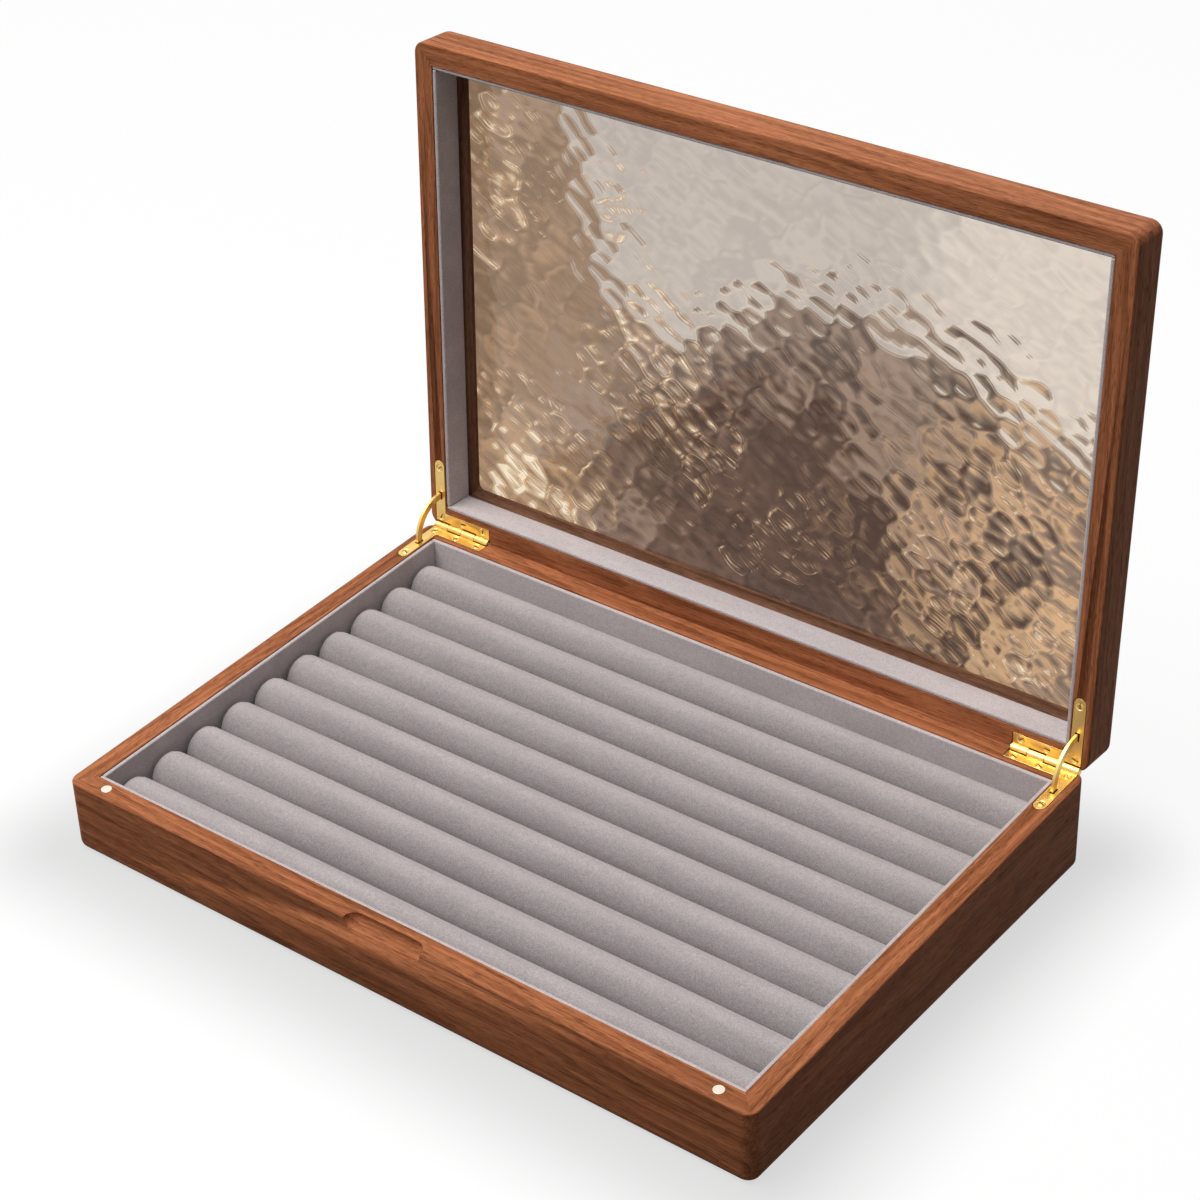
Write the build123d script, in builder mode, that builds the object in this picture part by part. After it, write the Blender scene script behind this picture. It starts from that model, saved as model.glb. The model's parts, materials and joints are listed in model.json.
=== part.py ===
from build123d import *

import os
from math import asin, atan2, cos, degrees, pi, radians, sin

# Ring display box: a shallow walnut case with a sloping rim, a glazed lid standing open on two
# quadrant hinges, and a tray of velvet-covered ring rolls. All sizes are in millimetres.
# X runs from left to right, Y from front to back and Z up, and the origin is the middle of
# the underside. The lid is modelled where its stays hold it open.

# ---- Driving dimensions ------------------------------------------------------------------

# Case and lid frame
box_width = 220.0
box_depth = 148.0
front_height = 21.5  # height of the seam at the front face
back_height = 28.0  # height of the seam at the back face, where the hinge pins are
wall = 6.0
corner_radius = 3.5  # upright corners
foot_radius = 2.5  # bottom edge
rim_radius = 0.5  # edges at the seam
crown_radius = 3.0  # outer edge of the lid's top face
seam_gap = 0.2  # between the two rims when shut
hinge_side_gap = 0.04  # between them along the hinge side
lid_thickness = 13.5
lid_travel = 95.0  # degrees from shut to open

# Base panel
panel_thickness = 3.0
panel_rebate = 2.0
panel_clearance = 0.1

# Finger scoop in the front edge of the case
scoop_length = 25.0
scoop_radius = 3.5

# Velvet-covered liner boards
liner_thickness = 1.2
liner_drop = 0.2  # below the rim
liner_shadow_gap = 1.0  # between the lid's liner and the lip

# Ring rolls and the wedge they lie on
roll_count = 10
roll_height = 11.5
roll_drop = 4.5  # from the rim down to the crests
roll_end_radius = 1.6
roll_gap = 0.15  # between two rolls
velvet_clearance = 0.15  # between the rolls or the wedge and the liner

# Glazing
lid_pocket_depth = 10.1  # from the rim to the lip
lip_reveal = 2.2  # how far the lip shows inside the liner
light_corner_radius = 2.0
glass_thickness = 2.0
glass_recess = 0.2  # below the lid's top face
glass_bearing = 2.4  # how far the pane lies on the lip
glass_clearance = 0.3

# Closing magnets
magnet_inset = 11.5  # from the side face
magnet_setback = 3.4  # from the front face
magnet_radius = 1.5
magnet_thickness = 2.0
lid_magnet_radius = 2.0
lid_magnet_thickness = 3.5
lid_magnet_cover = 0.8  # wood between the hidden magnet and the rim
magnet_clearance = 0.05

# Quadrant hinges
leaf_thickness = 1.0
leaf_margin = 2.1  # from the side face to the leaf
leaf_clearance = 0.2  # round the leaf in its mortise
back_arm_length = 20.0
back_arm_width = 4.4
case_arm_length = 18.5
lid_arm_length = 21.5
side_arm_width = 3.5
pin_radius = 0.6
pin_clearance = 0.05
knuckle_radius = 1.2
knuckle_count = 4
knuckle_gap = 0.1
barrel_clearance = 0.3

# Curved stays that slide through the leaves
stay_radius = 10.0
stay_width = 2.0
stay_thickness = 0.8
stay_clearance = 0.25
hook_depth = 1.0
hook_angle = 6.0  # degrees of arc taken by each hook
hook_gap = 0.3  # between a hook and the back of its leaf

# Countersunk screws
screw_length = 5.0
screw_radius = 0.55
screw_head_radius = 1.1
screw_clearance = 0.05
screw_slot_width = 0.35
screw_slot_depth = 0.3
screw_edge = 2.4  # from a leaf's end to the screw nearest to it

# ---- Worked out from them ----------------------------------------------------------------

slope = atan2(back_height - front_height, box_depth)
rim_depth = box_depth / cos(slope)
lid_angle = pi + slope - radians(lid_travel)  # of the open lid, from +Y
inner_width = box_width - 2 * wall
inner_depth = box_depth - 2 * wall
liner_width = inner_width - 2 * liner_thickness
liner_depth = inner_depth - 2 * liner_thickness
lip_width = liner_thickness + lip_reveal
barrel_end = box_width / 2 - leaf_margin
arm_middle = barrel_end - side_arm_width / 2
barrel_relief = knuckle_radius + barrel_clearance

# Each rim plane starts at the hinge pins. Its Y runs along the rim to the front edge, and its
# Z points out of the wood, so the same hinge drawing serves the case and the lid.
pin_point = (0, box_depth / 2, back_height)
base_rim = Plane(pin_point, x_dir=(-1, 0, 0), z_dir=(0, -sin(slope), cos(slope)))
lid_rim = Plane(pin_point, x_dir=(1, 0, 0), z_dir=(0, -sin(lid_angle), cos(lid_angle)))
base_face = base_rim.offset(-seam_gap / 2)
lid_face = lid_rim.offset(-seam_gap / 2)
rim_up = Axis(pin_point, base_rim.z_dir)
lid_out = Axis(pin_point, -lid_rim.z_dir)

pieces = []


def keep(part, label):
    """Name a finished piece and put it with the others."""
    part.label = label
    pieces.append(part)


def cross_plane(rim, x, y=0, z=0):
    """Plane square to a rim's X, with its own X along the rim and its Y out of the wood."""
    return Plane(rim.from_local_coords((x, y, z)), x_dir=rim.y_dir, z_dir=rim.x_dir)


def arc_band(inner, outer, first, last):
    """Sketch of a band between two arcs about the origin; angles in degrees."""
    with BuildSketch(Plane.XY) as band:
        with BuildLine():
            near = CenterArc((0, 0), inner, first, last - first)
            far = CenterArc((0, 0), outer, first, last - first)
            Line(near @ 0, far @ 0)
            Line(near @ 1, far @ 1)
        make_face()
    return band.sketch


# ---- Hinge drawing, shared by the two frames and the four leaves -----------------------------


def leaf_outline(side, arm_length, first, grow=0.0):
    """Draw a leaf's L shape on a rim plane, from Y = first, grown all round by a clearance."""
    edge = (Align.MAX if side > 0 else Align.MIN, Align.MIN)
    round_centre = arm_length - side_arm_width / 2
    with Locations((side * (barrel_end + grow), first)):
        Rectangle(back_arm_length + 2 * grow, back_arm_width + grow - first, align=edge)
        Rectangle(side_arm_width + 2 * grow, round_centre - first, align=edge)
    with Locations((side * arm_middle, round_centre)):
        Circle(side_arm_width / 2 + grow)


def screw_places(side, arm_length):
    """Screw centres of one leaf: the arm's tip, the corner and two along the back arm."""
    middle_of_back_arm = (barrel_relief + back_arm_width) / 2
    return [
        (side * arm_middle, arm_length - screw_edge),
        (side * arm_middle, middle_of_back_arm),
        (side * (barrel_end - back_arm_length / 2), middle_of_back_arm),
        (side * (barrel_end - back_arm_length + screw_edge), middle_of_back_arm),
    ]


hook_inner = stay_radius - stay_width / 2 - hook_depth
hook_start = degrees(asin((seam_gap / 2 + leaf_thickness + hook_gap) / hook_inner))
hook_end = hook_start + hook_angle
slot_end = lid_travel / 2 + hook_end + degrees(stay_clearance / hook_inner)


def hinge_seats(rim, arm_length):
    """Cutter for both hinges' mortises, barrel grooves, stay slots and pilot holes."""
    face = rim.offset(-seam_gap / 2)
    stay_slot = arc_band(
        hook_inner - stay_clearance,
        stay_radius + stay_width / 2 + stay_clearance,
        -slot_end,
        0,
    )
    with BuildPart() as seats:
        for side in (-1, 1):
            with BuildSketch(face):
                leaf_outline(side, arm_length, -barrel_relief, leaf_clearance)
            extrude(amount=-leaf_thickness)
            with BuildSketch(cross_plane(rim, side * (barrel_end - back_arm_length / 2))):
                Circle(barrel_relief)
            extrude(amount=back_arm_length / 2 + barrel_clearance, both=True)
            with BuildSketch(cross_plane(rim, side * arm_middle)):
                add(stay_slot)
            extrude(amount=stay_thickness / 2 + stay_clearance, both=True)
            with BuildSketch(face):
                with Locations(*screw_places(side, arm_length)):
                    Circle(screw_radius + screw_clearance)
            extrude(amount=-screw_length)
    return seats.part


def saw_into_rails(frame, middle, depth, prefix):
    """Saw a frame along its mitres into front, back, left and right rails."""
    x = box_width / 2
    y = depth / 2
    reach = wall + lip_width + glass_bearing
    corners = [(-1, -1), (1, -1), (1, 1), (-1, 1)]
    outside = [(a * (x + reach), b * (y + reach)) for a, b in corners]
    inside = [(a * (x - reach), b * (y - reach)) for a, b in corners]
    sides = ("right", "left") if middle.x_dir.X > 0 else ("left", "right")
    names = ("back", sides[0], "front", sides[1])
    for i, name in enumerate(names):
        j = (i + 1) % len(corners)
        with BuildPart() as rail:
            add(frame)
            with BuildSketch(middle):
                with BuildLine():
                    Polyline(outside[i], outside[j], inside[j], inside[i], close=True)
                make_face()
            extrude(amount=box_depth, both=True, mode=Mode.INTERSECT)
        keep(rail.part, f"{prefix}_{name}_rail")


# ---- Case ----------------------------------------------------------------------------------

base_seats = hinge_seats(base_rim, case_arm_length)
with BuildPart() as base_frame:
    with BuildSketch(Plane.XY):
        RectangleRounded(box_width, box_depth, corner_radius)
    extrude(amount=back_height)
    split(bisect_by=base_face, keep=Keep.BOTTOM)
    fillet(faces().sort_by(Axis.Z)[0].edges(), radius=foot_radius)
    fillet(faces().sort_by(Axis.Z)[-1].edges(), radius=rim_radius)
    # Along the hinge side a narrow strip is left square and higher, so that no light shows
    # through the open joint.
    with BuildSketch(Plane.XY.offset(front_height)):
        with Locations((0, box_depth / 2 - rim_radius)):
            Rectangle(box_width - 2 * corner_radius, 2 * rim_radius)
    extrude(amount=back_height - front_height)
    split(bisect_by=base_rim.offset(-hinge_side_gap / 2), keep=Keep.BOTTOM)
    with BuildSketch(Plane.XY):
        Rectangle(inner_width, inner_depth)
    extrude(amount=back_height, mode=Mode.SUBTRACT)
    with BuildSketch(Plane.XY):
        Rectangle(inner_width + 2 * panel_rebate, inner_depth + 2 * panel_rebate)
    extrude(amount=panel_thickness, mode=Mode.SUBTRACT)
    # The scoop is a round-ended cove along the front face's top edge.
    scoop_edge = base_face.from_local_coords((0, rim_depth, 0))
    scoop_straight = scoop_length - 2 * scoop_radius
    with Locations(scoop_edge):
        Cylinder(scoop_radius, scoop_straight, rotation=(0, 90, 0), mode=Mode.SUBTRACT)
    with Locations(*[scoop_edge + Vector(a * scoop_straight / 2, 0, 0) for a in (-1, 1)]):
        Sphere(scoop_radius, mode=Mode.SUBTRACT)
    magnet_places = [
        (a * (box_width / 2 - magnet_inset), rim_depth - magnet_setback) for a in (-1, 1)
    ]
    with BuildSketch(base_face):
        with Locations(*magnet_places):
            Circle(magnet_radius + magnet_clearance)
    extrude(amount=-magnet_thickness, mode=Mode.SUBTRACT)
    add(base_seats, mode=Mode.SUBTRACT)

base_middle = Plane((0, 0, 0), x_dir=(-1, 0, 0), z_dir=(0, 0, 1))
saw_into_rails(base_frame.part, base_middle, box_depth, "base")

with BuildPart() as base_panel:
    with BuildSketch(Plane.XY):
        spare = 2 * (panel_rebate - panel_clearance)
        Rectangle(inner_width + spare, inner_depth + spare)
    extrude(amount=panel_thickness)
keep(base_panel.part, "base_panel")

with BuildPart() as base_magnets:
    with BuildSketch(base_face):
        with Locations(*magnet_places):
            Circle(magnet_radius)
    extrude(amount=-magnet_thickness)
keep(base_magnets.part, "base_magnets")

# ---- Tray ----------------------------------------------------------------------------------


def base_liner(centre, size, label):
    """Velvet-covered board that stands on the panel and follows the sloping rim."""
    with BuildPart() as liner:
        with BuildSketch(Plane.XY.offset(panel_thickness)):
            with Locations(centre):
                Rectangle(*size)
        extrude(amount=back_height)
        split(bisect_by=base_face.offset(-liner_drop), keep=Keep.BOTTOM)
    keep(liner.part, label)


liner_x = (inner_width - liner_thickness) / 2
liner_y = (inner_depth - liner_thickness) / 2
base_liner((0, -liner_y), (inner_width, liner_thickness), "base_front_liner")
base_liner((0, liner_y), (inner_width, liner_thickness), "base_back_liner")
base_liner((-liner_x, 0), (liner_thickness, liner_depth), "base_left_liner")
base_liner((liner_x, 0), (liner_thickness, liner_depth), "base_right_liner")

bed_level = -seam_gap / 2 - roll_drop - roll_height  # in the rim plane's Z
with BuildPart() as roll_bed:
    with BuildSketch(Plane.XY.offset(panel_thickness)):
        Rectangle(liner_width - 2 * velvet_clearance, liner_depth - 2 * velvet_clearance)
    extrude(amount=back_height)
    split(bisect_by=base_rim.offset(bed_level), keep=Keep.BOTTOM)
keep(roll_bed.part, "roll_bed")


def liner_edge(from_back, level):
    """Rim-plane Y at which an upright face so far from the back stands at some level."""
    return (from_back - level * sin(slope)) / cos(slope)


# The rolls stand square to the sloping bed between upright liners, so the row starts at the
# back liner by the rolls' feet and ends at the front liner by their crests.
crest_level = bed_level + roll_height
liner_inset = wall + liner_thickness
row_start = liner_edge(liner_inset, bed_level) + velvet_clearance
row_end = liner_edge(box_depth - liner_inset, crest_level) - velvet_clearance
roll_pitch = (row_end - row_start) / roll_count
roll_width = roll_pitch - roll_gap
roll_length = liner_width - 2 * velvet_clearance
for i in range(roll_count):
    middle = row_end - (i + 0.5) * roll_pitch
    with BuildPart() as ring_roll:
        with BuildSketch(cross_plane(base_rim, 0, middle, bed_level)):
            with BuildLine():
                foot = Polyline(
                    (-roll_width / 2, roll_height - roll_width / 2),
                    (-roll_width / 2, 0),
                    (roll_width / 2, 0),
                    (roll_width / 2, roll_height - roll_width / 2),
                )
                ThreePointArc(foot @ 0, (0, roll_height), foot @ 1)
            make_face()
        extrude(amount=roll_length / 2, both=True)
        for end in (0, -1):
            fillet(
                faces().sort_by(Axis.X)[end].edges().sort_by(rim_up)[1:],
                radius=roll_end_radius,
            )
    keep(ring_roll.part, f"ring_roll_{i + 1:02d}")

# ---- Lid -----------------------------------------------------------------------------------

lid_middle = Plane(
    lid_face.from_local_coords((0, rim_depth / 2, 0)), x_dir=lid_rim.x_dir, z_dir=lid_rim.z_dir
)
lid_top = lid_middle.offset(-lid_thickness)
light_width = inner_width - 2 * lip_width
light_depth = rim_depth - 2 * (wall + lip_width)
pane_rebate_depth = glass_thickness + glass_recess
pane_corner_radius = light_corner_radius + glass_bearing
pane_width = light_width + 2 * glass_bearing
pane_depth = light_depth + 2 * glass_bearing

lid_seats = hinge_seats(lid_rim, lid_arm_length)
with BuildPart() as lid_frame:
    with BuildSketch(lid_middle):
        RectangleRounded(box_width, rim_depth, corner_radius)
    extrude(amount=-lid_thickness)
    fillet(faces().sort_by(lid_out)[-1].edges(), radius=crown_radius)
    fillet(faces().sort_by(lid_out)[0].edges(), radius=rim_radius)
    with BuildSketch(lid_rim.offset(-hinge_side_gap / 2)):
        with Locations((0, rim_radius)):
            Rectangle(box_width - 2 * corner_radius, 2 * rim_radius)
    extrude(amount=-2 * rim_radius)
    with BuildSketch(lid_middle):
        Rectangle(inner_width, rim_depth - 2 * wall)
    extrude(amount=-lid_pocket_depth, mode=Mode.SUBTRACT)
    with BuildSketch(lid_middle):
        RectangleRounded(light_width, light_depth, light_corner_radius)
    extrude(amount=-lid_thickness, mode=Mode.SUBTRACT)
    with BuildSketch(lid_top):
        RectangleRounded(
            pane_width + 2 * glass_clearance,
            pane_depth + 2 * glass_clearance,
            pane_corner_radius + glass_clearance,
        )
    extrude(amount=pane_rebate_depth, mode=Mode.SUBTRACT)
    # Blind bores for the hidden magnets, drilled from inside the pocket towards the front.
    magnet_level = -lid_magnet_cover - lid_magnet_radius
    pocket_front = Plane(
        lid_middle.from_local_coords((0, rim_depth / 2 - wall, magnet_level)),
        x_dir=lid_rim.x_dir,
        z_dir=lid_rim.y_dir,
    )
    lid_magnet_places = [(a * (box_width / 2 - magnet_inset), 0) for a in (-1, 1)]
    with BuildSketch(pocket_front):
        with Locations(*lid_magnet_places):
            Circle(lid_magnet_radius + magnet_clearance)
    extrude(amount=lid_magnet_thickness, mode=Mode.SUBTRACT)
    add(lid_seats, mode=Mode.SUBTRACT)

saw_into_rails(lid_frame.part, lid_middle, rim_depth, "lid")

with BuildPart() as glass_pane:
    with BuildSketch(lid_top.offset(pane_rebate_depth)):
        RectangleRounded(pane_width, pane_depth, pane_corner_radius)
    extrude(amount=-glass_thickness)
keep(glass_pane.part, "glass_pane")

with BuildPart() as lid_magnets:
    with BuildSketch(pocket_front):
        with Locations(*lid_magnet_places):
            Circle(lid_magnet_radius)
    extrude(amount=lid_magnet_thickness)
keep(lid_magnets.part, "lid_magnets")


def lid_liner(centre, size, label):
    """Velvet-covered board round the lid's pocket, from just inside the rim to a shadow gap."""
    with BuildPart() as liner:
        with BuildSketch(lid_middle.offset(-liner_drop)):
            with Locations(centre):
                Rectangle(*size)
        extrude(amount=-(lid_pocket_depth - liner_drop - liner_shadow_gap))
    keep(liner.part, label)


lid_liner_y = (rim_depth - liner_thickness) / 2 - wall
lid_side_liner = rim_depth - 2 * (wall + liner_thickness)
lid_liner((0, lid_liner_y), (inner_width, liner_thickness), "lid_front_liner")
lid_liner((0, -lid_liner_y), (inner_width, liner_thickness), "lid_back_liner")
lid_liner((-liner_x, 0), (liner_thickness, lid_side_liner), "lid_left_liner")
lid_liner((liner_x, 0), (liner_thickness, lid_side_liner), "lid_right_liner")

# ---- Hinges --------------------------------------------------------------------------------

knuckle_pitch = back_arm_length / knuckle_count


def hinge_leaf(rim, side, arm_length, first_knuckle, label):
    """L-shaped leaf let into the rim, with every second knuckle of the barrel."""
    knuckles = [
        barrel_end - (k + 0.5) * knuckle_pitch for k in range(first_knuckle, knuckle_count, 2)
    ]
    knuckle_length = knuckle_pitch - knuckle_gap
    face = rim.offset(-seam_gap / 2)
    with BuildPart(face) as leaf:
        with BuildSketch(face):
            leaf_outline(side, arm_length, barrel_relief)
            with Locations(*[(side * x, 0) for x in knuckles]):
                Rectangle(knuckle_length, back_arm_width, align=(Align.CENTER, Align.MIN))
        extrude(amount=-leaf_thickness)
        for x in knuckles:
            with BuildSketch(cross_plane(rim, side * x)):
                Circle(knuckle_radius)
            extrude(amount=knuckle_length / 2, both=True)
        with BuildSketch(cross_plane(rim, side * (barrel_end - back_arm_length / 2))):
            Circle(pin_radius + pin_clearance)
        extrude(amount=back_arm_length, both=True, mode=Mode.SUBTRACT)
        with BuildSketch(face):
            with Locations((side * arm_middle, stay_radius)):
                Rectangle(stay_thickness + 2 * stay_clearance, stay_width + 2 * stay_clearance)
        extrude(amount=-leaf_thickness, mode=Mode.SUBTRACT)
        with Locations(*screw_places(side, arm_length)):
            CounterSinkHole(
                radius=screw_radius + screw_clearance,
                counter_sink_radius=screw_head_radius + screw_clearance,
                depth=leaf_thickness,
                counter_sink_angle=90,
            )
    keep(leaf.part, label)


hinge_leaf(base_rim, 1, case_arm_length, 0, "left_base_leaf")
hinge_leaf(base_rim, -1, case_arm_length, 0, "right_base_leaf")
hinge_leaf(lid_rim, -1, lid_arm_length, 1, "left_lid_leaf")
hinge_leaf(lid_rim, 1, lid_arm_length, 1, "right_lid_leaf")

for side, name in ((-1, "left"), (1, "right")):
    with BuildPart() as hinge_pin:
        with BuildSketch(cross_plane(lid_rim, side * (barrel_end - back_arm_length / 2))):
            Circle(pin_radius)
        extrude(amount=back_arm_length / 2, both=True)
    keep(hinge_pin.part, f"{name}_hinge_pin")

    # The stay's arc is centred between the two rims, with a hook behind each leaf.
    bisector = degrees(pi + slope + lid_angle) / 2
    half_arc = lid_travel / 2 + hook_end
    hook = lid_travel / 2 + hook_start
    outer = stay_radius + stay_width / 2
    stay_plane = Plane((side * arm_middle, *pin_point[1:]), x_dir=(0, 1, 0), z_dir=(1, 0, 0))
    bands = [
        arc_band(outer - stay_width, outer, bisector - half_arc, bisector + half_arc),
        arc_band(hook_inner, outer, bisector - half_arc, bisector - hook),
        arc_band(hook_inner, outer, bisector + hook, bisector + half_arc),
    ]
    with BuildPart() as quadrant_stay:
        with BuildSketch(stay_plane):
            for band in bands:
                add(band)
        extrude(amount=stay_thickness / 2, both=True)
    keep(quadrant_stay.part, f"{name}_stay")

with BuildPart() as screw:
    with BuildSketch(Plane.XZ):
        with BuildLine():
            cone = screw_head_radius - screw_radius
            Polyline(
                (0, 0),
                (screw_head_radius, 0),
                (screw_radius, -cone),
                (screw_radius, -screw_length + screw_radius),
                (0, -screw_length),
                close=True,
            )
        make_face()
    revolve(axis=Axis.Z)
    with Locations((0, 0, 0)):
        Box(
            2 * screw_head_radius,
            screw_slot_width,
            2 * screw_slot_depth,
            mode=Mode.SUBTRACT,
        )

for face, arm_length, label in (
    (base_face, case_arm_length, "base_leaf_screws"),
    (lid_face, lid_arm_length, "lid_leaf_screws"),
):
    with BuildPart(face) as leaf_screws:
        with Locations(*screw_places(-1, arm_length), *screw_places(1, arm_length)):
            add(screw.part)
    keep(leaf_screws.part, label)

# ---- Write the pieces ----------------------------------------------------------------------

os.makedirs("parts", exist_ok=True)
for piece in pieces:
    export_step(piece, f"parts/{piece.label}.step")
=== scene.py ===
import json
import logging
import math
from dataclasses import dataclass, field
from enum import Enum
from functools import reduce

import bmesh
import bpy
import numpy as np
from mathutils import Matrix, Vector

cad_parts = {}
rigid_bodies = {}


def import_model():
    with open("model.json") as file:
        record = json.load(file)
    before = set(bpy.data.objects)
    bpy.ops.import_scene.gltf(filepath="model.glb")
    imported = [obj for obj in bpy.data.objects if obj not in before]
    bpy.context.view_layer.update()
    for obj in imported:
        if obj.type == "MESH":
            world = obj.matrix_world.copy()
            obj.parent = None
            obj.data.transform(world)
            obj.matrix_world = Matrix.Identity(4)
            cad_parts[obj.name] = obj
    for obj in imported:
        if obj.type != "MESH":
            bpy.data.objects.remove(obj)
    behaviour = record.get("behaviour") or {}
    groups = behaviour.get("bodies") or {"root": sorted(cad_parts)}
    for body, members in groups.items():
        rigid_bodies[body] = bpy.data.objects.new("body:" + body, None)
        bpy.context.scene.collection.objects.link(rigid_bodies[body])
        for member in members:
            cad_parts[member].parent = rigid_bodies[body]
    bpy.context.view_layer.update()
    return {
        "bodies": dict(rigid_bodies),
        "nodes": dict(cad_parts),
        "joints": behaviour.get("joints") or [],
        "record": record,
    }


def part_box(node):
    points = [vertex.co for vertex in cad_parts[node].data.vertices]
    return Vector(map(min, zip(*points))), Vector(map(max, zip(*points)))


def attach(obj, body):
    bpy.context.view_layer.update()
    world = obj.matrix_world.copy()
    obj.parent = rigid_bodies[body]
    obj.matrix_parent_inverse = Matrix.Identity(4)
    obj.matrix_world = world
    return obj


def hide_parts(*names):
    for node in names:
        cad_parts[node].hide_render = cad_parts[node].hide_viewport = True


# Looks of a ring display box: walnut case and glazed lid, brass quadrant hinges, and a tray of
# velvet rolls. Everything is in metres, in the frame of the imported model: X to the right, Y to
# the back, Z up, with the origin in the middle of the underside.

log = logging.getLogger("ring_box")

Colour = tuple[float, float, float]
Point = tuple[float, float, float]
Socket = bpy.types.NodeSocket
Number = Socket | float
Triple = Socket | Point
# Range low..high of a value, and the range first..last that it is carried to.
Band = tuple[float, float] | tuple[float, float, float, float]

MILLIMETRE = 0.001
NEARLY_ZERO = 1e-12
WHITE = (1.0, 1.0, 1.0)


# ---- Sizes shared by the sub-assemblies ------------------------------------------------------


@dataclass(frozen=True)
class BoxSizes:
    """Sizes of the case and lid that place the dressed pieces."""

    width: float = 0.220
    depth: float = 0.148
    front_height: float = 0.0215
    back_height: float = 0.028
    wall: float = 0.006
    seam_gap: float = 0.0002
    lid_thickness: float = 0.0135
    lid_travel: float = math.radians(95.0)
    liner_thickness: float = 0.0012

    @property
    def slope(self) -> float:
        """Slope of the case's rim."""
        return math.atan2(self.back_height - self.front_height, self.depth)

    @property
    def rim_depth(self) -> float:
        """Length of the sloping rim from the pins to the front edge."""
        return self.depth / math.cos(self.slope)

    @property
    def lid_angle(self) -> float:
        """Angle of the open lid, from +Y."""
        return math.pi + self.slope - self.lid_travel

    def case_rim(self) -> Matrix:
        """Frame of the case's rim: its origin at the pins, Y to the front edge, Z out of the wood."""
        return self._rim(Vector((-1, 0, 0)), self.slope)

    def lid_rim(self) -> Matrix:
        """Frame of the lid's rim: its origin at the pins, Y to the free edge, Z out of the wood."""
        return self._rim(Vector((1, 0, 0)), self.lid_angle)

    def _rim(self, x_axis: Vector, angle: float) -> Matrix:
        """Frame whose Z lies at an angle about the pins.

        Args:
            x_axis: direction of the frame's X.
            angle: angle of the rim from +Y.

        Returns:
            The frame as a 4x4 matrix.
        """
        z_axis = Vector((0, -math.sin(angle), math.cos(angle)))
        y_axis = z_axis.cross(x_axis)
        turned = Matrix((x_axis, y_axis, z_axis)).transposed().to_4x4()
        return Matrix.Translation((0, self.depth / 2, self.back_height)) @ turned


class Side(Enum):
    """The two ends of the box, by the sign of X."""

    LEFT = -1
    RIGHT = 1


class Grain(Enum):
    """Way that the grain of a piece of wood runs, by the turn that lays it along X."""

    ACROSS = (0.0, 0.0, 0.0)
    TO_THE_BACK = (0.0, 0.0, -math.pi / 2)
    UP_THE_LID = (0.0, math.pi / 2, 0.0)


# ---- Node trees --------------------------------------------------------------------------------

FLOAT, VECTOR, COLOUR = "NodeSocketFloat", "NodeSocketVector", "NodeSocketColor"
GEOMETRY, MATERIAL, INTEGER = "NodeSocketGeometry", "NodeSocketMaterial", "NodeSocketInt"
OBJECT = "NodeSocketObject"
SURFACE = {"Color": COLOUR, "Roughness": FLOAT, "Height": FLOAT}


@dataclass(frozen=True)
class Layer:
    """Layer of stretched noise: how fast it changes along and across the grain, and how finely."""

    along: float
    across: float
    detail: float
    rough: float = 0.5
    swirl: float = 0.0


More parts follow.
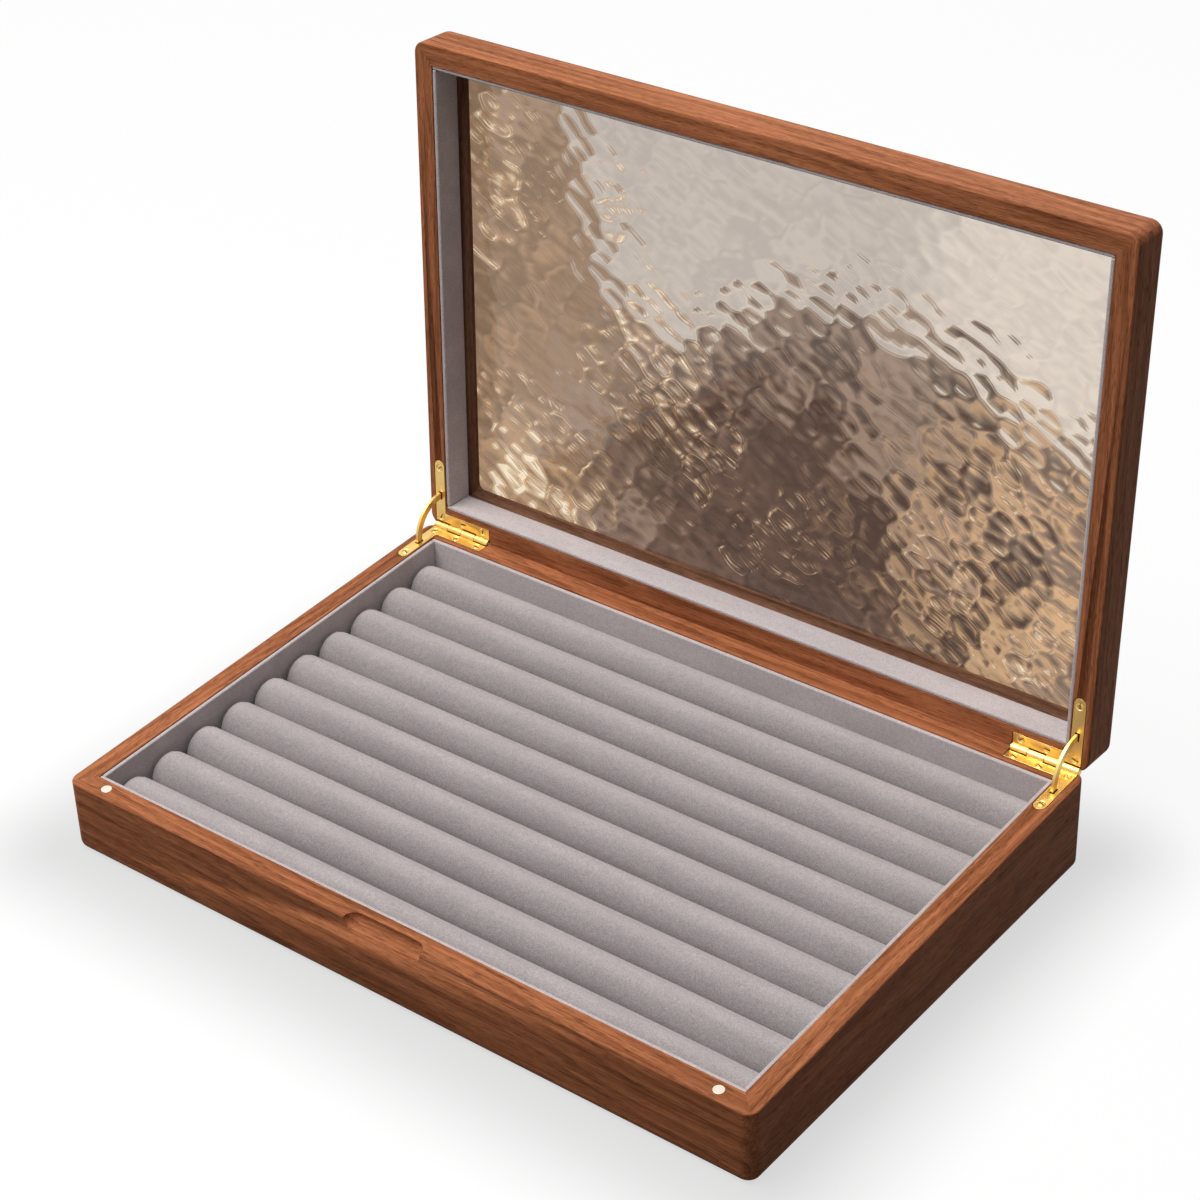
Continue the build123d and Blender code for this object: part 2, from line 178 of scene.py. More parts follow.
class Graph:
    """Short calls for adding and joining the nodes of one tree."""

    def __init__(self, tree: bpy.types.NodeTree) -> None:
        """Works on the given tree."""
        self.tree = tree

    def feed(self, node: bpy.types.Node, values: dict) -> None:
        """Gives a node its inputs.

        Args:
            node: the node.
            values: numbers, vectors, colours or sockets to join, by the input's name or number.
        """
        for key, value in values.items():
            target = node.inputs[key]
            if isinstance(value, Socket):
                self.tree.links.new(value, target)
            elif target.type == "RGBA":
                target.default_value = (*value, 1.0)
            else:
                target.default_value = value

    def add(self, kind: str, values: dict | None = None, **settings: object) -> bpy.types.Node:
        """Adds a node.

        Args:
            kind: the node's type name.
            values: its inputs, as feed takes them.
            **settings: the node's own properties.

        Returns:
            The new node.
        """
        node = self.tree.nodes.new(kind)
        for name, value in settings.items():
            setattr(node, name, value)
        self.feed(node, values or {})
        return node

    def result(
        self, kind: str, values: dict | None = None, output: int | str = 0, **settings: object
    ) -> Socket:
        """One output of a new node, made as add makes it."""
        return self.add(kind, values, **settings).outputs[output]

    def math(self, operation: str, *values: Number) -> Socket:
        """Result of a math operation."""
        return self.result("ShaderNodeMath", dict(enumerate(values)), operation=operation)

    def plus(self, *values: Number) -> Socket:
        """Sum of values, added in their order."""
        return reduce(lambda total, value: self.math("ADD", total, value), values)

    def times(self, *values: Number) -> Socket:
        """Product of values, multiplied in their order."""
        return reduce(lambda product, value: self.math("MULTIPLY", product, value), values)

    def minus(self, value: Number, less: Number) -> Socket:
        """Difference of two values."""
        return self.math("SUBTRACT", value, less)

    def vector(self, operation: str, *values: Triple) -> Socket:
        """Vector result of a vector operation."""
        return self.result("ShaderNodeVectorMath", dict(enumerate(values)), operation=operation)

    def measure(self, operation: str, *values: Triple) -> Socket:
        """Number that a vector operation gives, such as a length."""
        places = dict(enumerate(values))
        return self.result("ShaderNodeVectorMath", places, "Value", operation=operation)

    def combine(self, x: Number, y: Number, z: Number) -> Socket:
        """Vector from three values."""
        return self.result("ShaderNodeCombineXYZ", {0: x, 1: y, 2: z})

    def parts_of(self, vector: Socket) -> bpy.types.NodeOutputs:
        """X, Y and Z of a vector."""
        return self.add("ShaderNodeSeparateXYZ", {0: vector}).outputs

    def spread(
        self, value: Number, low: float, high: float, first: float = 0.0, last: float = 1.0
    ) -> Socket:
        """Value carried smoothly from the range low..high to first..last."""
        values = {"Value": value, "From Min": low, "From Max": high, "To Min": first, "To Max": last}
        return self.result("ShaderNodeMapRange", values, interpolation_type="SMOOTHSTEP")

    def curve(self, value: Number, points: tuple[tuple[float, float], ...]) -> Socket:
        """Number read from a smooth curve.

        Args:
            value: place along the curve, from 0 to 1.
            points: (place, height) of the curve's points.

        Returns:
            The height of the curve there.
        """
        node = self.add("ShaderNodeFloatCurve", {"Value": value})
        line = node.mapping.curves[0]
        while len(line.points) < len(points):
            line.points.new(0.5, 0.5)
        for point, place in zip(line.points, points):
            point.location = place
        node.mapping.update()
        return node.outputs[0]

    def noise(
        self,
        place: Socket,
        scale: Number = 1.0,
        detail: float = 2.0,
        rough: float = 0.5,
        swirl: float = 0.0,
    ) -> Socket:
        """Noise value between 0 and 1."""
        values = {"Vector": place, "Scale": scale, "Detail": detail, "Roughness": rough}
        return self.result("ShaderNodeTexNoise", values | {"Distortion": swirl})

    def layer(self, place: Socket, layer: Layer) -> Socket:
        """Value between 0 and 1 of a layer of stretched noise."""
        stretched = self.vector("MULTIPLY", place, (layer.along, layer.across, layer.across))
        return self.noise(stretched, 1.0, layer.detail, layer.rough, layer.swirl)

    def mix(self, share: Number, first: Triple, second: Triple, blend: str = "MIX") -> Socket:
        """Mixture of two colours."""
        values = {0: share, 6: first, 7: second}
        return self.result("ShaderNodeMix", values, 2, data_type="RGBA", blend_type=blend)

    def shaded(self, colour: Socket, share: Number) -> Socket:
        """Colour times a number."""
        return self.mix(1.0, colour, self.combine(share, share, share), "MULTIPLY")


class GroupGraph(Graph):
    """Nodes of one group, between its named inputs and outputs."""

    def __init__(self, name: str, kind: str, inputs: dict, outputs: dict[str, str]) -> None:
        """Starts the group.

        Args:
            name: the group's name.
            kind: ShaderNodeTree or GeometryNodeTree.
            inputs: socket type, or a number to start from, of each input, by name.
            outputs: socket type of each output, by name.
        """
        tree = bpy.data.node_groups.new(name, kind)
        kinds = {int: INTEGER, float: FLOAT}
        for label, given in inputs.items():
            socket = kinds.get(type(given), given)
            made = tree.interface.new_socket(name=label, in_out="INPUT", socket_type=socket)
            if type(given) in kinds:
                made.default_value = given
        for label, socket in outputs.items():
            tree.interface.new_socket(name=label, in_out="OUTPUT", socket_type=socket)
        super().__init__(tree)
        self.source = self.add("NodeGroupInput").outputs
        self.sink = self.add("NodeGroupOutput")

    def finished(self, results: dict[str, Socket]) -> bpy.types.NodeTree:
        """Tree of the group, with its results joined to its outputs."""
        self.feed(self.sink, results)
        return self.tree


class MaterialGraph(Graph):
    """Nodes of one material, round its Principled shader."""

    def __init__(self, name: str) -> None:
        """Starts the material."""
        self.material = bpy.data.materials.new(name)
        self.material.use_nodes = True
        super().__init__(self.material.node_tree)
        self.shader = self.tree.nodes["Principled BSDF"]

    def place(self) -> Socket:
        """Place of the shaded point in the model's frame."""
        return self.result("ShaderNodeTexCoord", output="Object")

    def shade(self, values: dict) -> None:
        """Gives the shader its inputs, as feed takes them."""
        self.feed(self.shader, values)

    def dress(self, surface: bpy.types.NodeOutputs, relief: float) -> None:
        """Feeds a group's colour, roughness and height to the shader.

        Args:
            surface: outputs of a group node with Color, Roughness and Height.
            relief: height of the relief, in metres.
        """
        values = {"Strength": 1.0, "Distance": relief, "Height": surface["Height"]}
        self.shade(
            {
                "Base Color": surface["Color"],
                "Roughness": surface["Roughness"],
                "Normal": self.result("ShaderNodeBump", values),
            }
        )


@dataclass(frozen=True)
class WalnutFigure:
    """Rings, fibres, pores and slow changes of tone of walnut."""

    slow: Layer = Layer(7, 34, 2.0)
    waver: Layer = Layer(26, 150, 3.0)
    fibre: Layer = Layer(60, 3300, 2.0, 0.6)
    streak: Layer = Layer(12, 850, 4.0, 0.66)
    cloud: Layer = Layer(34, 90, 3.0, 0.6)
    pores: Layer = Layer(330, 4800, 1.0, 0.4)
    crowds: Layer = Layer(40, 320, 1.0)
    slow_tone: Band = (0.35, 0.75, 0.0, 0.2)
    cloud_tone: Band = (0.35, 0.7, 0.0, 0.1)
    streak_tone: Band = (0.32, 0.68, 0.0, 0.34)
    fibre_tone: Band = (0.3, 0.7, -0.04, 0.24)
    late_wood: Band = (0.2, 0.86)
    ring_end: Band = (1.0, 0.88)
    pore_edge: Band = (0.66, 0.82)
    taper: float = 0.045
    sway: float = 0.016
    raggedness: float = 1.3
    crowding: float = 0.3
    pore_depth: float = 0.55
    pore_cover: float = 0.7
    pore_colour: Colour = (0.012, 0.004, 0.002)
    pore_roughness: float = 0.2
    streak_roughness: float = 0.1
    roughness: float = 0.46
    fibre_height: float = 0.5

    def group(self) -> bpy.types.NodeTree:
        """Shader group for the wood.

        Returns:
            The group. Its Vector has X along the grain.
        """
        graph = GroupGraph(
            "Walnut Figure",
            "ShaderNodeTree",
            {
                "Vector": VECTOR,
                "Light": COLOUR,
                "Dark": COLOUR,
                "Ring Width": FLOAT,
                "Ring Depth": FLOAT,
                "Pore Depth": self.pore_depth,
            },
            SURFACE,
        )
        source = graph.source
        place = source["Vector"]
        slow = graph.layer(place, self.slow)
        waver = graph.layer(place, self.waver)
        fibre = graph.layer(place, self.fibre)
        streak = graph.layer(place, self.streak)
        cloud = graph.layer(place, self.cloud)
        x, y, z = graph.parts_of(place)
        across = graph.plus(y, graph.times(x, self.taper), graph.times(slow, self.sway))
        squares = [graph.math("POWER", part, 2.0) for part in (across, z)]
        from_heart = graph.math("SQRT", graph.plus(*squares))
        rings = graph.math("DIVIDE", from_heart, source["Ring Width"])
        ring = graph.math("FRACT", graph.plus(rings, graph.times(waver, self.raggedness)))
        late_wood = graph.times(
            graph.spread(ring, *self.late_wood), graph.spread(ring, *self.ring_end)
        )
        crowd = graph.times(graph.layer(place, self.crowds), self.crowding)
        pore = graph.spread(graph.plus(graph.layer(place, self.pores), crowd), *self.pore_edge)
        darkness = graph.times(late_wood, source["Ring Depth"])
        for value, tone in (
            (slow, self.slow_tone),
            (cloud, self.cloud_tone),
            (streak, self.streak_tone),
            (fibre, self.fibre_tone),
        ):
            darkness = graph.plus(darkness, graph.spread(value, *tone))
        wood = graph.mix(graph.math("MINIMUM", darkness, 1.0), source["Light"], source["Dark"])
        filled = graph.mix(self.pore_cover, wood, self.pore_colour)
        wood = graph.mix(graph.times(pore, source["Pore Depth"]), wood, filled)
        rough = graph.plus(
            graph.times(pore, self.pore_roughness),
            self.roughness,
            graph.times(streak, self.streak_roughness),
        )
        height = graph.minus(graph.times(fibre, self.fibre_height), pore)
        return graph.finished({"Color": wood, "Roughness": rough, "Height": height})


@dataclass(frozen=True)
class VelvetNap:
    """Speckled pile, with painted shade between the tufts and painted sheen on their tips, and soft
    brushed patches of short velvet.
    """

    brushed: Layer = Layer(45, 140, 3.0, 0.55, 0.6)
    brushed_band: Band = (0.35, 0.65, -1.0, 1.0)
    pile_band: Band = (0.3, 0.7)
    rough_band: Band = (0.3, 0.7, 0.98, 0.82)
    pile_rough: float = 0.7
    clump_rough: float = 0.6
    clump_swirl: float = 0.4
    clump_scale: float = 0.3
    clump_share: float = 0.2
    tuft_shade: Colour = (0.05, 0.043, 0.04)
    tip_sheen: Colour = (0.9, 0.86, 0.86)
    tip_share: float = 0.6
    most_shift: float = 0.3

    def group(self) -> bpy.types.NodeTree:
        """Shader group for the velvet.

        Returns:
            The group.
        """
        graph = GroupGraph(
            "Velvet Nap",
            "ShaderNodeTree",
            {"Vector": VECTOR, "Color": COLOUR, "Pile": FLOAT, "Speckle": FLOAT, "Brushing": FLOAT},
            SURFACE,
        )
        source = graph.source
        place, speckle, colour = source["Vector"], source["Speckle"], source["Color"]
        pile = graph.noise(place, source["Pile"], rough=self.pile_rough)
        clump_scale = graph.times(source["Pile"], self.clump_scale)
        clump = graph.noise(place, clump_scale, rough=self.clump_rough, swirl=self.clump_swirl)
        height = graph.plus(
            graph.times(pile, 1.0 - self.clump_share), graph.times(clump, self.clump_share)
        )
        # Painted shade between the tufts and painted sheen on their tips, spread at random over the
        # pile.
        dark = graph.mix(speckle, colour, self.tuft_shade)
        pale = graph.mix(graph.times(speckle, self.tip_share), colour, self.tip_sheen)
        nap = graph.mix(graph.spread(height, *self.pile_band), dark, pale)
        brushed = graph.spread(graph.layer(place, self.brushed), *self.brushed_band)
        shift = graph.times(brushed, source["Brushing"], self.most_shift)
        nap = graph.shaded(nap, graph.plus(shift, 1.0))
        rough = graph.spread(height, *self.rough_band)
        return graph.finished({"Color": nap, "Roughness": rough, "Height": height})


@dataclass(frozen=True)
class PolishMarks:
    """Faint scratches and cloudy handling marks of polished metal."""

    clouds: Layer = Layer(420, 420, 4.0, 0.6, 0.7)
    cloud_band: Band = (0.4, 0.7)
    scratches: Layer = Layer(900, 6000, 2.0, 0.6)
    cloud_roughness: float = 0.25
    scratch_roughness: float = 0.06
    scratch_height: float = 0.4

    def group(self) -> bpy.types.NodeTree:
        """Shader group for the metal.

        Returns:
            The group.
        """
        graph = GroupGraph(
            "Polish Marks",
            "ShaderNodeTree",
            {
                "Vector": VECTOR,
                "Color": COLOUR,
                "Tarnish": COLOUR,
                "Clouding": FLOAT,
                "Smoothness": FLOAT,
            },
            SURFACE,
        )
        source = graph.source
        cloud = graph.layer(source["Vector"], self.clouds)
        fine = graph.layer(source["Vector"], self.scratches)
        share = graph.times(graph.spread(cloud, *self.cloud_band), source["Clouding"])
        colour = graph.mix(share, source["Color"], source["Tarnish"])
        rough = graph.plus(
            source["Smoothness"],
            graph.times(share, self.cloud_roughness),
            graph.times(fine, self.scratch_roughness),
        )
        height = graph.plus(graph.times(fine, self.scratch_height), cloud)
        return graph.finished({"Color": colour, "Roughness": rough, "Height": height})


@dataclass(frozen=True)
class HammeredSurface:
    """Dimples of hammered glass: long pebbles that lean over, each a shallow dome."""

    long_side: float = 0.0074
    short_side: float = 0.0042
    lean: float = math.radians(29.0)
    drift: float = 0.0024
    drift_scale: float = 70.0
    relief: float = 0.42
    crown: float = 0.7
    softness: float = 0.85
    randomness: float = 0.75
    seed: float = 3.4

    def group(self, kind: str) -> bpy.types.NodeTree:
        """Group for the dimples' height, in millimetres, at a place on the flat pane.

        Args:
            kind: ShaderNodeTree or GeometryNodeTree.

        Returns:
            The group.
        """
        graph = GroupGraph(
            "Hammered Surface",
            kind,
            {
                "Place": VECTOR,
                "Long Side": self.long_side,
                "Short Side": self.short_side,
                "Lean": self.lean,
                "Relief": self.relief,
                "Seed": self.seed,
            },
            {"Height": FLOAT},
        )
        source = graph.source
        broad = {"Vector": source["Place"], "Scale": self.drift_scale, "Detail": 0.0}
        wander = graph.result("ShaderNodeTexNoise", broad, "Color")
        wander = graph.vector("SUBTRACT", wander, (0.5, 0.5, 0.5))
        wander = graph.vector("MULTIPLY", wander, (self.drift, self.drift, 0.0))
        turned = graph.result(
            "ShaderNodeVectorRotate",
            {
                "Vector": graph.vector("ADD", source["Place"], wander),
                "Axis": (0, 0, 1),
                "Angle": source["Lean"],
            },
            rotation_type="AXIS_ANGLE",
        )
        x, y, _ = graph.parts_of(turned)
        cell = graph.combine(
            graph.math("DIVIDE", x, source["Long Side"]),
            graph.math("DIVIDE", y, source["Short Side"]),
            source["Seed"],
        )
        values = {"Scale": 1.0, "Smoothness": self.softness, "Randomness": self.randomness}
        pebble = graph.result(
            "ShaderNodeTexVoronoi",
            {"Vector": cell} | values,
            "Distance",
            voronoi_dimensions="2D",
            feature="SMOOTH_F1",
        )
        height = graph.minus(self.crown, graph.math("POWER", pebble, 2.0))
        return graph.finished({"Height": graph.times(height, source["Relief"])})


# ---- Finishes ----------------------------------------------------------------------------------


@dataclass(frozen=True)
class WalnutFinish:
    """Satin oiled walnut, with the grain along each piece.

    The levels of the lid's painted shade are heights in the lid rim's frame, where the wood is below
    0.
    """

    group: bpy.types.NodeTree
    sizes: BoxSizes
    light: Colour = (0.60, 0.222, 0.098)
    dark: Colour = (0.20, 0.060, 0.022)
    ring_width: float = 0.0026
    relief: float = 0.00003
    specular: float = 0.06
    lining_level: float = -0.0092
    lip_level: float = -0.01002
    face_level: float = -0.0132
    shadow: Colour = (0.016, 0.008, 0.006)
    lip_shade: Colour = (0.45, 0.58, 0.76)
    wall_margin: float = 0.0003
    face_margin: float = 0.0002
    fade: float = 0.0001

    def material(
        self, name: str, grain: Grain, heart: Point, depth: float = 0.3, in_lid: bool = False
    ) -> bpy.types.Material:
        """Walnut for one board.

        Args:
            name: the material's name.
            grain: the way that the grain runs.
            heart: place of the tree's heart beside the board, so that boards differ.
            depth: how strongly the rings show.
            in_lid: whether the board is in the lid, where painted shade darkens the recessed lip.

        Returns:
            The material.
        """
        graph = MaterialGraph(name)
        place = graph.place()
        if grain is Grain.UP_THE_LID:
            upright = (math.pi / 2 - self.sizes.lid_angle, 0.0, 0.0)
            place = graph.result("ShaderNodeMapping", {"Vector": place, "Rotation": upright})
        laid = {"Vector": place, "Location": heart, "Rotation": grain.value}
        figure = graph.add(
            "ShaderNodeGroup",
            {
                "Vector": graph.result("ShaderNodeMapping", laid),
                "Light": self.light,
                "Dark": self.dark,
                "Ring Width": self.ring_width,
                "Ring Depth": depth,
            },
            node_tree=self.group,
        ).outputs
        graph.dress(figure, self.relief)
        # In the lid: painted shade on the recessed lip, and a painted shadow in the gap beside it.
        if in_lid:
            graph.shade({"Base Color": self._recess_shade(graph, figure["Color"])})
        graph.shade({"Specular IOR Level": self.specular})
        return graph.material

    def _recess_shade(self, graph: MaterialGraph, colour: Socket) -> Socket:
        """Paints shade on the lid's recessed lip, and a painted shadow in the gap between lip and
        lining.

        Args:
            graph: the material's graph.
            colour: colour of the wood.

        Returns:
            The colour with the painted shade.
        """
        place = graph.place()
        across, along, level = (
            graph.plus(graph.measure("DOT_PRODUCT", place, row[:3]), row[3])
            for row in list(self.sizes.lid_rim().inverted())[:3]
        )
        wall, face = self.sizes.wall, self.face_level
        ends = graph.minus(self.sizes.width / 2, graph.math("ABSOLUTE", across))
        edges = graph.math("MINIMUM", along, graph.minus(self.sizes.rim_depth, along))
        inset = graph.math("MINIMUM", ends, edges)
        inside = graph.times(
            graph.spread(inset, wall - self.wall_margin, wall - self.fade),
            graph.spread(level, face, face + self.face_margin),
        )
        # Painted shadow in the gap between the lining and the lip.
        gap = graph.spread(level, self.lining_level, self.lining_level - self.fade)
        recess_shaded = graph.mix(gap, colour, self.shadow)
        # Painted shade on the recessed lip.
        lip = graph.spread(level, self.lip_level, self.lip_level - self.fade)
        recess_shaded = graph.mix(lip, recess_shaded, graph.mix(1.0, colour, self.lip_shade, "MULTIPLY"))
        return graph.mix(inside, colour, recess_shaded)


@dataclass(frozen=True)
class VelvetFinish:
    """Warm grey velvet."""

    group: bpy.types.NodeTree
    colour: Colour = (0.64, 0.572, 0.577)
    pile: float = 2900.0
    relief: float = 0.00018
    specular: float = 0.15
    sheen: float = 0.5
    sheen_roughness: float = 0.42
    sheen_tint: Colour = (0.95, 0.92, 0.93)
    unshaded_normal: float = 0.2
    shaded_flank_normal: float = -0.75

    def material(
        self, name: str, speckle: float, brushing: float, depth: float, flank: float = 1.0
    ) -> bpy.types.Material:
        """Velvet for one kind of piece.

        Args:
            name: the material's name.
            speckle: how strongly single tufts show.
            brushing: how strongly brushed patches show.
            depth: share of the colour that is kept, below 1 a painted shade of the standing pile on a
                darker copy of the velvet.
            flank: share of it that is left on the flanks that lean to the front, as painted shade.

        Returns:
            The material.
        """
        graph = MaterialGraph(name)
        nap = graph.add(
            "ShaderNodeGroup",
            {
                "Vector": graph.place(),
                "Color": [part * depth for part in self.colour],
                "Pile": self.pile,
                "Speckle": speckle,
                "Brushing": brushing,
            },
            node_tree=self.group,
        ).outputs
        graph.dress(nap, self.relief)
        # Painted shade: flanks whose normals lean to the front are darker.
        if flank < 1.0:
            facing = graph.result("ShaderNodeNewGeometry", output="Normal")
            _, leaning, _ = graph.parts_of(facing)
            share = graph.spread(leaning, self.unshaded_normal, self.shaded_flank_normal, 1.0, flank)
            graph.shade({"Base Color": graph.shaded(nap["Color"], share)})
        graph.shade(
            {
                "Specular IOR Level": self.specular,
                "Sheen Weight": self.sheen,
                "Sheen Roughness": self.sheen_roughness,
                "Sheen Tint": self.sheen_tint,
            }
        )
        return graph.material


@dataclass(frozen=True)
class MetalFinish:
    """Polished metal with painted shade in its crevices, darker where little of the open air reaches.
    """

    group: bpy.types.NodeTree
    colour: Colour
    tarnish: Colour
    clouding: float
    smoothness: float
    relief: float = 0.0000002
    crevice_shade: Colour = (0.10, 0.05, 0.015)
    crevice_shade_reach: float = 0.0007
    crevice_shade_samples: int = 12
    unshaded_band: Band = (0.45, 0.8)

    def material(self, name: str) -> bpy.types.Material:
        """Material of this metal.

        Args:
            name: the material's name.

        Returns:
            The material.
        """
        graph = MaterialGraph(name)
        marks = graph.add(
            "ShaderNodeGroup",
            {
                "Vector": graph.place(),
                "Color": self.colour,
                "Tarnish": self.tarnish,
                "Clouding": self.clouding,
                "Smoothness": self.smoothness,
            },
            node_tree=self.group,
        ).outputs
        graph.dress(marks, self.relief)
        # Painted shade: the colour darkens in crevices, where the occlusion test finds little open
        # air.
        open_air = graph.result(
            "ShaderNodeAmbientOcclusion",
            {"Distance": self.crevice_shade_reach},
            "AO",
            samples=self.crevice_shade_samples,
        )
        unshaded = graph.spread(open_air, *self.unshaded_band)
        graph.shade({"Base Color": graph.mix(unshaded, self.crevice_shade, marks["Color"]), "Metallic": 1.0})
        return graph.material


@dataclass(frozen=True)
class Zone:
    """Round zone of the pane, in the lid rim's X and Y."""

    centre: tuple[float, float]
    outer: float
    inner: float


@dataclass(frozen=True)
class BronzeGlassFinish:
    """Hammered bronze glass: a bronze colour under a painted reflection that every dimple breaks up.

    The painted reflection is a fixed picture of the pale backdrop, the shaded floor and lamp glints.
    The tide line is the border between its dark and pale parts, in shares of the pane's width and
    height.
    Each spark is a painted lamp glint, with its place on the pane and its radius.
    """

    ripples: bpy.types.NodeTree
    pale: Colour = (0.60, 0.525, 0.465)
    bright: Colour = (0.77, 0.68, 0.59)
    taupe: Colour = (0.285, 0.20, 0.148)
    brown: Colour = (0.135, 0.078, 0.054)
    tan: Colour = (0.40, 0.255, 0.155)
    gold: Colour = (0.60, 0.385, 0.215)
    cream: Colour = (1.0, 0.87, 0.66)
    metallic: float = 0.04
    transmission: float = 0.95
    refraction: float = 1.5
    streak_scale: float = 900.0
    rough_band: Band = (0.3, 0.7, 0.04, 0.09)
    lens_reach: float = 0.2
    slope_step: float = 0.00015
    patch: Layer = Layer(38, 38, 1.0, 0.5, 0.3)
    patch_drift: float = 0.11
    grain: Layer = Layer(72, 72, 0.5)
    grain_drift: float = 0.07
    shadow_seen: Zone = Zone((0.004, 0.004), 0.088, 0.048)
    glint: Zone = Zone((0.088, 0.042), 0.074, 0.030)
    clear: Zone = Zone((0.095, 0.125), 0.062, 0.034)
    left_edge: Band = (-0.044, -0.070)
    left_patches: Band = (0.60, 0.44, 0.3, 1.0)
    glint_grain: Band = (0.45, 0.58)
    mottle_grain: float = 0.6
    mottle_band: Band = (0.6, 1.0, 0.7, 1.36)
    veil_band: Band = (0.35, 0.65, 0.9, 1.06)
    glint_halo: Band = (1.9, 1.5)
    halo_share: float = 0.7
    glint_core: float = 0.8
    shore: float = 0.0012
    shore_highlight: float = 0.4
    tide_width: float = 0.2
    tide_height: float = 0.16
    tide_line: tuple[tuple[float, float], ...] = (
        (0.0, 1.0),
        (0.165, 0.88),
        (0.2, 0.71),
        (0.25, 0.54),
        (0.35, 0.48),
        (0.45, 0.57),
        (0.57, 0.635),
        (0.75, 0.62),
        (0.875, 0.56),
        (1.0, 0.515),
    )
    lamp_glints: tuple[tuple[float, float, float], ...] = (
        (-0.086, 0.018, 0.0095),
        (-0.068, 0.012, 0.0046),
        (-0.092, 0.040, 0.0034),
        (-0.060, 0.028, 0.0030),
        (-0.050, 0.112, 0.0030),
        (-0.042, 0.080, 0.0036),
        (-0.030, 0.060, 0.0040),
        (-0.022, 0.050, 0.0030),
        (-0.092, 0.098, 0.0034),
        (-0.094, 0.128, 0.0030),
        (-0.086, 0.115, 0.0028),
        (-0.077, 0.104, 0.0018),
        (-0.036, 0.070, 0.0024),
        (-0.044, 0.053, 0.0024),
        (-0.054, 0.066, 0.0026),
        (-0.018, 0.040, 0.0022),
        (-0.072, 0.044, 0.0024),
        (0.006, 0.034, 0.0020),
        (0.013, 0.026, 0.0018),
        (-0.006, 0.022, 0.0016),
        (0.052, 0.044, 0.0020),
        (0.062, 0.030, 0.0022),
        (0.074, 0.060, 0.0024),
        (0.082, 0.018, 0.0030),
        (0.090, 0.024, 0.0026),
    )

    def material(self, name: str) -> bpy.types.Material:
        """Glass whose bronze colour and painted reflection are broken up by its own dimples.

        Args:
            name: the material's name.

        Returns:
            The material.
        """
        graph = MaterialGraph(name)
        flat = graph.result("ShaderNodeAttribute", output="Vector", attribute_name="pane_place")
        here = self._height(graph, flat, (0.0, 0.0, 0.0))
        step = self.slope_step
        slope = [
            graph.math("DIVIDE", graph.minus(self._height(graph, flat, shift), here), step)
            for shift in ((step, 0.0, 0.0), (0.0, step, 0.0))
        ]
        reach = self.lens_reach * MILLIMETRE
        bend = graph.vector("MULTIPLY", graph.combine(*slope, 0.0), (reach, reach, 0.0))
        streak = graph.noise(flat, self.streak_scale)
        graph.shade(
            {
                "Base Color": self._painted_reflection(graph, graph.vector("ADD", flat, bend)),
                "Roughness": graph.spread(streak, *self.rough_band),
                "Metallic": self.metallic,
                "Transmission Weight": self.transmission,
                "IOR": self.refraction,
            }
        )
        return graph.material

    def _painted_reflection(self, graph: Graph, seen: Socket) -> Socket:
        """Colour of the glass's bronze and painted reflection at a place on the pane.

        Args:
            graph: the material's graph.
            seen: the place, after its dimple has bent it.

        Returns:
            The colour.
        """
        u, v, _ = graph.parts_of(seen)
        across = graph.plus(graph.math("DIVIDE", u, self.tide_width), 0.5)
        tide = graph.times(graph.curve(across, self.tide_line), self.tide_height)
        above = graph.minus(v, tide)
        patch = graph.layer(seen, self.patch)
        grain = graph.layer(seen, self.grain)
        ragged = graph.plus(
            graph.times(graph.minus(patch, 0.5), self.patch_drift),
            graph.times(graph.minus(grain, 0.5), self.grain_drift),
        )
        # Below the tide line: painted shaded floor in taupe and brown, tan to the left,
        # painted gold glints to the right.
        painted_view = graph.mix(self._within(graph, seen, self.shadow_seen, ragged), self.taupe, self.brown)
        left = graph.spread(graph.plus(u, ragged), *self.left_edge)
        left = graph.times(left, graph.spread(patch, *self.left_patches))
        painted_view = graph.mix(left, painted_view, self.tan)
        glint = self._within(graph, seen, self.glint, ragged)
        glint = graph.times(glint, graph.spread(grain, *self.glint_grain))
        painted_view = graph.mix(glint, painted_view, self.gold)
        mottle = graph.plus(patch, graph.times(grain, self.mottle_grain))
        painted_view = graph.shaded(painted_view, graph.spread(mottle, *self.mottle_band))
        # Above it: painted pale backdrop seen through the glass, brightest in the upper right.
        clear = graph.mix(self._within(graph, seen, self.clear), self.pale, self.bright)
        clear = graph.shaded(clear, graph.spread(grain, *self.veil_band))
        painted_view = graph.mix(graph.spread(above, -self.shore, self.shore), painted_view, clear)
        # Painted highlight: a cream line along the tide line.
        shore = graph.spread(graph.math("ABSOLUTE", above), self.shore * 2, self.shore / 1.5)
        painted_view = graph.mix(graph.times(shore, self.shore_highlight), painted_view, self.cream)
        outer, inner = self.glint_halo
        # Painted lamp glints: a gold halo round a cream core at each spark.
        for across_at, up_at, radius in self.lamp_glints:
            away = self._away(graph, seen, (across_at, up_at))
            halo = graph.spread(away, radius * outer, radius * inner, 0.0, self.halo_share)
            painted_view = graph.mix(halo, painted_view, self.gold)
            core = graph.spread(away, radius, radius * self.glint_core)
            painted_view = graph.mix(core, painted_view, self.cream)
        return painted_view

    def _height(self, graph: Graph, place: Socket, shift: Point) -> Socket:
        """Height of the dimples, in millimetres, beside a place on the pane."""
        beside = {"Place": graph.vector("ADD", place, shift)}
        return graph.result("ShaderNodeGroup", beside, node_tree=self.ripples)

    def _within(self, graph: Graph, place: Socket, zone: Zone, ragged: Number = 0.0) -> Socket:
        """How far a place lies inside a round zone with a ragged edge, from 0 to 1."""
        away = graph.plus(self._away(graph, place, zone.centre), ragged)
        return graph.spread(away, zone.outer, zone.inner)

